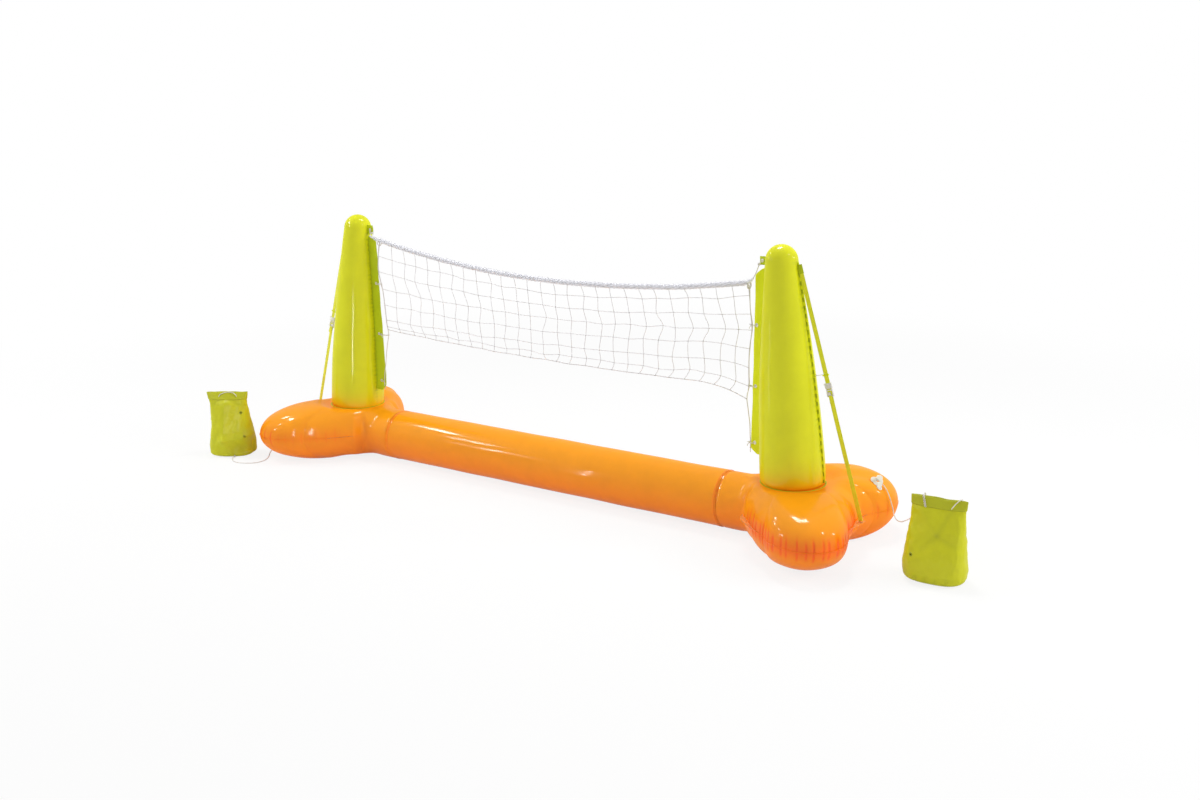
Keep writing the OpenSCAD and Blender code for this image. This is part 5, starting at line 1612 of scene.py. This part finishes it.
class NET_OT_tether_tabs(bpy.types.Operator):
    """Builds the heart-shaped tabs that the tethers are tied to"""

    bl_idname = "net.tether_tabs"
    bl_label = "Tether tabs"

    def execute(self, context):
        turn = circle(96)
        edge = np.maximum(heart_radius(turn), 15.5)
        edge = 0.5 * edge + 0.25 * (np.roll(edge, 1) + np.roll(edge, -1))
        half = TAB_T / 2
        # share of the way from the hole to the edge, what is added to it, and the height
        steps = [(0.0, 0.0, half - 0.5), (0.0, 0.6, half), (0.35, 0.4, half + 0.1), (0.75, 0.2, half),
                 (1.0, -1.2, half), (1.0, -0.35, half - 0.35), (1.0, 0.0, half - 1.0)]
        steps += [(t, extra, -h) for t, extra, h in steps[::-1]] + steps[:1]
        rings = []
        for t, extra, h in steps:
            r = HEART_HOLE + (edge - HEART_HOLE) * t + extra
            rings.append(xyz(r * np.cos(turn), r * np.sin(turn), h))
        faces = grid_faces(len(rings), 96, wrap=True)
        lean, way, roll = (math.radians(v) for v in (TAB_LEAN, TAB_TURN, TAB_ROLL))
        turn_to = (Matrix.Rotation(way, 3, "Z") @ Matrix.Rotation(lean, 3, "Y")
                   @ Matrix.Rotation(roll, 3, "Z"))
        at = skin_point(TETHER_A, TETHER_RHO)
        out = unit(skin_point(TETHER_A, TETHER_RHO + 8) - skin_point(TETHER_A, TETHER_RHO - 8))
        across = skin_point(TETHER_A + 2, TETHER_RHO) - skin_point(TETHER_A - 2, TETHER_RHO)
        up = unit(np.cross(out, across))
        local = np.concatenate(rings) + np.array([3 - HEART_W * 0.57, 0, 0])
        stood = np.array([tuple(turn_to @ Vector(p)) for p in local]) + at + up * 5
        pts, disc = lathe([(0.05, 6.0), (3.5, 5.6), (5.5, 3.0), (9.0, 1.3), (DISC_R - 2, 0.2),
                           (DISC_R - 2, -1.2), (0.05, -1.2)], 48)
        pts[:, 2] += 0.12 * waves(pts, 7, 17)
        side_way = unit(np.cross(up, (0, 0.3, 1)))
        foot = placed(pts, at, side_way, np.cross(up, side_way), up)
        knot = self.tether_knot()
        for side, sign in SIDES.items():
            shape = Shape().add(mirrored(stood, sign), faces).add(mirrored(foot, sign), disc)
            piece(f"{side}_tether_heart", shape, "white_plastic", replaces=[f"{side}_tether_patch"],
                  weld=0.01)
            piece(f"{side}_tether_knot", Shape().cord(mirrored(knot, sign), 1.35), "white_cord")
        return {"FINISHED"}

    @staticmethod
    def tether_knot():
        """An overhand knot at the start of the right tether."""
        start, after = (np.array(p, float) for p in RIGHT_ROUTE[:2])
        ahead = unit(after - start)
        u = unit(np.cross(ahead, (0, 0, 1)))
        v = np.cross(ahead, u)
        k = np.linspace(0, 2 * np.pi, 60)[:, None]
        round_way = (np.sin(k) + 2 * np.sin(2 * k)) * u + (np.cos(k) - 2 * np.cos(2 * k)) * v
        return start - ahead * 2.5 + 1.6 * round_way - 1.6 * np.sin(3 * k) * ahead


# ------------------------------------------------------------------ anchor bags
def smooth_keys(keys, values, z):
    """Values between the keyed ones, rounded so that no kink shows."""
    fine = np.linspace(keys[0], keys[-1], 400)
    line = np.interp(fine, keys, values)
    kernel = np.hanning(31)
    padded = np.pad(line, 15, mode="reflect", reflect_type="odd")
    return np.interp(z, fine, np.convolve(padded, kernel / kernel.sum(), mode="valid"))


# Each bag's place and turn, its half widths and half depths at the key heights, its
# folds (x0, z0, x1, z1 of a fold on the front, its height and its width), its dents
# (x, z, depth, width) and its drain holes (x, z).
BAG_FORMS = {
    "left": dict(
        at=LEFT_BAG_AT, turn=LEFT_BAG_TURN,
        keys=(0, 12, 40, 80, 130, 200, 217, 243),
        left=(78, 86, 86, 81, 77, 75, 78, 84), right=(77, 86, 87, 84, 76, 66, 67, 70),
        front=(52, 60, 61, 58, 50, 32, 22, 4), back=(52, 61, 62, 57, 48, 31, 21, 4),
        folds=[(-8, 236, -20, 66, 10.0, 44), (-20, 66, 52, 75, 8.0, 26), (52, 75, 92, 88, 9.0, 28),
               (-20, 66, 8, 10, 4.5, 18), (-60, 200, -30, 216, -2.0, 14), (20, 216, 62, 190, -2.2, 16),
               (-70, 40, -40, 100, -1.5, 18)],
        dents=[(70, 34, -16, 36), (30, 40, -9, 26), (-48, 120, -4, 50), (30, 130, -5, 46)],
        holes=[(48, 168), (62, 82)],
    ),
    "right": dict(
        at=RIGHT_BAG_AT, turn=RIGHT_BAG_TURN,
        keys=(0, 12, 35, 62, 98, 155, 208, 243),
        left=(78, 88, 92, 92, 88, 82, 79, 80), right=(76, 84, 87, 85, 81, 77, 75, 78),
        front=(52, 61, 63, 61, 56, 43, 23, 4), back=(52, 61, 62, 60, 54, 42, 22, 4),
        folds=[(-46, 214, 8, 146, 4.5, 34), (8, 146, -28, 106, -3.5, 30), (8, 146, 60, 120, -1.6, 30),
               (8, 146, 40, 216, -1.6, 28), (-70, 150, -60, 60, 4.0, 24), (-20, 3, -10, 26, -3.0, 7),
               (10, 2, 14, 20, -2.5, 6), (36, 4, 46, 24, -3.0, 7), (-46, 4, -40, 22, -2.5, 7),
               (60, 190, 66, 60, 4.0, 26)],
        dents=[(2, 148, -4, 40), (-32, 176, -3, 34), (30, 80, 3, 50), (-40, 60, 5, 50)],
        holes=[(-60, 84)],
    ),
}
# radius of each tie, the steps between two of its points and its run, in the bag's own frame
BAG_TIES = {
    "left": [(1.5, 6, [(-36, -13, 222), (-35, -14, 230), (-30, -13, 237), (-16, -11, 243), (2, -10, 246),
                       (18, -11, 243), (28, -13, 237), (32, -14, 230)])],
    "right": [(1.2, 5, [(-48, 26, 229), (-49, 27, 236), (-48, 22, 244), (-47, 12, 249), (-46, 4, 248),
                        (-46, 0, 242)]),
              (1.35, 5, [(-46, 0, 242), (-46, -3, 248), (-45, -8, 248)]),
              (1.3, 6, [(38, -17, 222), (42, -15.5, 229), (50, -9.5, 240), (58, -5, 248), (62, 0, 249),
                        (62, 0, 243)])],
}


def bag_outline(form, turn, z, grow=0.0):
    """Points of a bag's smooth outline at the angles and heights given."""
    left, right, front, back = (smooth_keys(form["keys"], form[k], z)
                                for k in ("left", "right", "front", "back"))
    square = 2 + 0.7 * ease(230, 30, z)
    c, s = np.cos(turn), np.sin(turn)
    wide = np.where(c > 0, right, left) + grow
    deep = np.where(s > 0, back, front) + grow
    x = wide * np.sign(c) * np.abs(c) ** (2 / square)
    y = deep * np.sign(s) * np.abs(s) ** (2 / square)
    draw = 1 - 0.16 * np.maximum(0, 1 - z / 10.0) ** 2
    return xyz(x * draw, y * draw, z)


def near_line(x, z, x0, z0, x1, z1):
    length = (x1 - x0) ** 2 + (z1 - z0) ** 2
    t = np.clip(((x - x0) * (x1 - x0) + (z - z0) * (z1 - z0)) / length, 0, 1)
    return np.hypot(x - x0 - t * (x1 - x0), z - z0 - t * (z1 - z0))


def tent(d, width):
    return np.clip(1 - d / width, 0, 1) ** 1.3


def bag_skin(form, seed, grow=0.0, low=0.0, rings=110):
    """Grid of points over a bag's side, with its folds, dents and creases, and the painted shade in its
    creases.
    """
    z = np.linspace(low, BAG_H, rings)[:, None]
    turn = 2 * np.pi * (np.arange(BAG_SIDES)[None] + 0.5) / BAG_SIDES
    p = bag_outline(form, turn, z, grow)
    along = np.roll(p, -1, 1) - np.roll(p, 1, 1)
    up = np.gradient(p, axis=0)
    out = unit(np.cross(along, up))
    x, height = p[..., 0], p[..., 2]
    front = ease(5, -12, p[..., 1])
    back = 1 - front
    push, shade_and_weld = np.zeros(x.shape), np.zeros(x.shape)
    for x0, z0, x1, z1, rise, width in form["folds"]:
        d = near_line(x, height, x0, z0, x1, z1)
        push += front * rise * tent(d, width)
        # painted shade in the fold lines that sink in
        shade_and_weld += front * (0.16 if rise < 0 else 0.05) * bell(d, 8.0)
    for x0, z0, depth, width in form["dents"]:
        push += front * depth * bell(np.hypot(x - x0, height - z0), width)
    rng = np.random.default_rng(seed)
    for _ in range(10):
        x0, z0 = rng.uniform(-60, 60), rng.uniform(20, 200)
        angle, length = rng.uniform(0, np.pi), rng.uniform(30, 80)
        d = near_line(x, height, x0, z0, x0 + length * math.cos(angle), z0 + length * math.sin(angle))
        rise = rng.uniform(-4, 4)
        push += back * rise * tent(d, rng.uniform(14, 34))
        # painted shade along the creases that sink into the back
        shade_and_weld += back * 0.3 * (rise < 0) * bell(d, 4.0)
    push += 0.8 * waves(p, 34, seed + 3) + 0.35 * waves(p, 13, seed + 4)
    still = ease(0, 16, height) * (1 - 0.75 * ease(BAG_H - HEM_H - 14, BAG_H - HEM_H + 4, height))
    p = p + (push * still)[..., None] * out
    rim = ease(BAG_H - HEM_H, BAG_H, height)
    p[..., 1] += rim * 2.4 * waves(p * np.array([1, 0, 0]), 55, seed + 6)
    p[..., 2] += rim * 1.5 * waves(p * np.array([1, 0.4, 0]), 60, seed + 7)
    p[..., 2] = np.maximum(p[..., 2], 0.15)
    return p, out, np.clip(shade_and_weld, 0, 1)


def to_bag(points, form):
    c, s = math.cos(math.radians(form["turn"])), math.sin(math.radians(form["turn"]))
    return placed(np.asarray(points, float).reshape(-1, 3), (*form["at"], 0), (c, s, 0), (-s, c, 0))


def build_bag(side, seed):
    """One anchor bag: its creased skin, the hem at its mouth and the ties on it."""
    form = BAG_FORMS[side]
    skin, out, shade_and_weld = bag_skin(form, seed)
    flat, ways = skin.reshape(-1, 3), out.reshape(-1, 3)
    front = np.where(flat[:, 1] < 0)[0]
    holes = [front[np.argmin(np.hypot(flat[front, 0] - x, flat[front, 2] - z))] for x, z in form["holes"]]
    kept = [f for f in grid_faces(len(skin), BAG_SIDES, wrap=True)
            if all(np.linalg.norm(flat[list(f)].mean(0) - flat[h]) > 3.0 for h in holes)]
    inside = skin - 0.9 * out
    inside[0, :, 2] = 1.6
    shape = Shape().add(to_bag(flat, form), kept).add(to_bag(inside, form), [f[::-1] for f in kept])
    n, top = len(flat), len(flat) - BAG_SIDES
    for k in range(BAG_SIDES):
        a, b = top + k, top + (k + 1) % BAG_SIDES
        shape.faces.append([a, b, n + b, n + a])
        shape.corners.extend([(0.0, 0.0)] * 4)
    for base, z in ((0, 0.15), (n, 1.6)):
        shape.fan(to_bag([[0, 0, z]], form), range(base, base + BAG_SIDES))
    # painted shade: the inside is darker than the outside and darker still at its bottom, and the bottom
    # underneath is darker too
    marks = np.concatenate([shade_and_weld.ravel(), np.clip(shade_and_weld + 0.1, 0, 1).ravel(), [0.3, 0.5]])
    piece(f"{side}_bag_skin", shape, "bag_vinyl", replaces=[f"{side}_anchor_bag"], closed=False,
          marks={"shade_and_weld": marks})
    build_bag_hem(side, form, seed)
    build_bag_drains(side, form, flat[holes], ways[holes])
    build_bag_ties(side, form)


def build_bag_hem(side, form, seed):
    """The band round a bag's mouth, turned over its lip."""
    hem, hem_out, _ = bag_skin(form, seed, grow=0.5, low=BAG_H - HEM_H, rings=14)
    outer = hem + hem_out * (1.0 + 0.25 * np.abs(waves(hem, 9, seed + 9)))[..., None]
    outer[0] = hem[0] + hem_out[0] * 0.1
    top = hem[-1] + hem_out[-1] * 0.4 + (0, 0, 1.3)
    lip = hem[-1] - hem_out[-1] * 1.6 + (0, 0, 0.6)
    under = hem[-4:] - hem_out[-4:] * 1.7
    rows = np.concatenate([outer, top[None], lip[None], under[::-1]])
    shape = Shape().add(to_bag(rows, form), grid_faces(len(rows), BAG_SIDES, wrap=True))
    # the hem takes the bag's olive shade, more on the right bag than on the left: painted shade
    piece(f"{side}_bag_band", shape, "lime_sheet", replaces=[f"{side}_bag_hem"], material="bag_vinyl",
          closed=False, thick=0.4, marks={"shade_and_weld": 0.5 if side == "right" else 0.3})


def build_bag_drains(side, form, spots, ways):
    """The ringed drain holes in a bag's front."""
    rim = [(2.6, -0.8), (2.6, 0.5), (3.1, 0.9), (4.6, 0.8), (5.4, 0.2), (5.4, -0.4), (2.6, -0.8)]
    pts, faces = lathe(rim, 32)
    for k, (spot, way) in enumerate(zip(spots, ways), 1):
        side_way = unit(np.cross(way, (0, 0, 1)))
        ring = placed(pts, spot, side_way, np.cross(way, side_way), way)
        # painted shade: each ring takes the bag's olive shade in full, so that the hole shows as a dark dot
        piece(f"{side}_bag_drain_{k}", Shape().add(to_bag(ring, form), faces), "lime_sheet",
              material="bag_vinyl", marks={"shade_and_weld": 1.0}, weld=0.01)


def build_bag_ties(side, form):
    """Cords through a bag's mouth, with the right one's twisted tail and the left one's small ring."""
    shape = Shape()
    for radius, steps, run in BAG_TIES[side]:
        shape.cord(to_bag(spline(run, steps), form), radius)
    if side == "right":
        t = np.linspace(0, 1, 40)
        for k in range(2):
            twist = 2 * np.pi * (2.6 * t + k / 2)
            y = -8 - 11 * t - 2.2 * np.sin(twist)
            run = xyz(-45 + 10 * t + 2.0 * np.cos(twist), y, 248 - 30 * t)
            shape.cord(to_bag(run, form), 1.35)
    else:
        t = np.linspace(0, 2 * np.pi, 30)
        shape.cord(to_bag(xyz(20, -61 + 4 * np.cos(t), 6 + 4 * np.sin(t)), form), 1.2)
    piece(f"{side}_bag_cord", shape, "white_cord", replaces=[f"{side}_bag_tie"])


class NET_OT_bags(bpy.types.Operator):
    """Builds the two creased anchor bags with their bands, drain holes and ties"""

    bl_idname = "net.bags"
    bl_label = "Anchor bags"

    def execute(self, context):
        for side, seed in (("left", 101), ("right", 117)):
            build_bag(side, seed)
        return {"FINISHED"}


# ------------------------------------------------------------------ valves
class NET_OT_valves(bpy.types.Operator):
    """Gives the three air valves and their plugs their milky vinyl"""

    bl_idname = "net.valves"
    bl_label = "Air valves"

    def execute(self, context):
        for name in ("bar_valve", "left_post_valve", "right_post_valve"):
            for node in (name, name + "_plug"):
                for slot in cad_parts[node].material_slots:
                    slot.material = finish("valve_vinyl")
        return {"FINISHED"}


# ------------------------------------------------------------------ add-on
OPERATORS = (
    NET_OT_camera, NET_OT_tethers, NET_OT_base_bar, NET_OT_feet, NET_OT_posts, NET_OT_flaps,
    NET_OT_net, NET_OT_straps, NET_OT_tether_tabs, NET_OT_bags, NET_OT_valves, NET_OT_stage,
)


class NET_PT_pieces(bpy.types.Panel):
    """Lists the pieces of the net set and their settings"""

    bl_idname = "NET_PT_pieces"
    bl_label = "Net set"
    bl_space_type = "VIEW_3D"
    bl_region_type = "UI"
    bl_category = "Net set"

    def draw(self, context):
        for operator in OPERATORS:
            self.layout.operator(operator.bl_idname, text=operator.bl_label)
        for key, group in SETTINGS:
            box = self.layout.box()
            for name in group.__annotations__:
                box.prop(getattr(context.scene, key), name)


def register():
    for key, group in SETTINGS:
        bpy.utils.register_class(group)
        setattr(bpy.types.Scene, key, bpy.props.PointerProperty(type=group))
    for item in OPERATORS + (NET_PT_pieces,):
        bpy.utils.register_class(item)


def unregister():
    for item in reversed(OPERATORS + (NET_PT_pieces,)):
        bpy.utils.unregister_class(item)
    for key, group in reversed(SETTINGS):
        delattr(bpy.types.Scene, key)
        bpy.utils.unregister_class(group)


def main():
    register()
    for operator in OPERATORS:
        family, name = operator.bl_idname.split(".")
        getattr(getattr(bpy.ops, family), name)()
    bpy.context.view_layer.update()


if __name__ == "__main__":
    main()
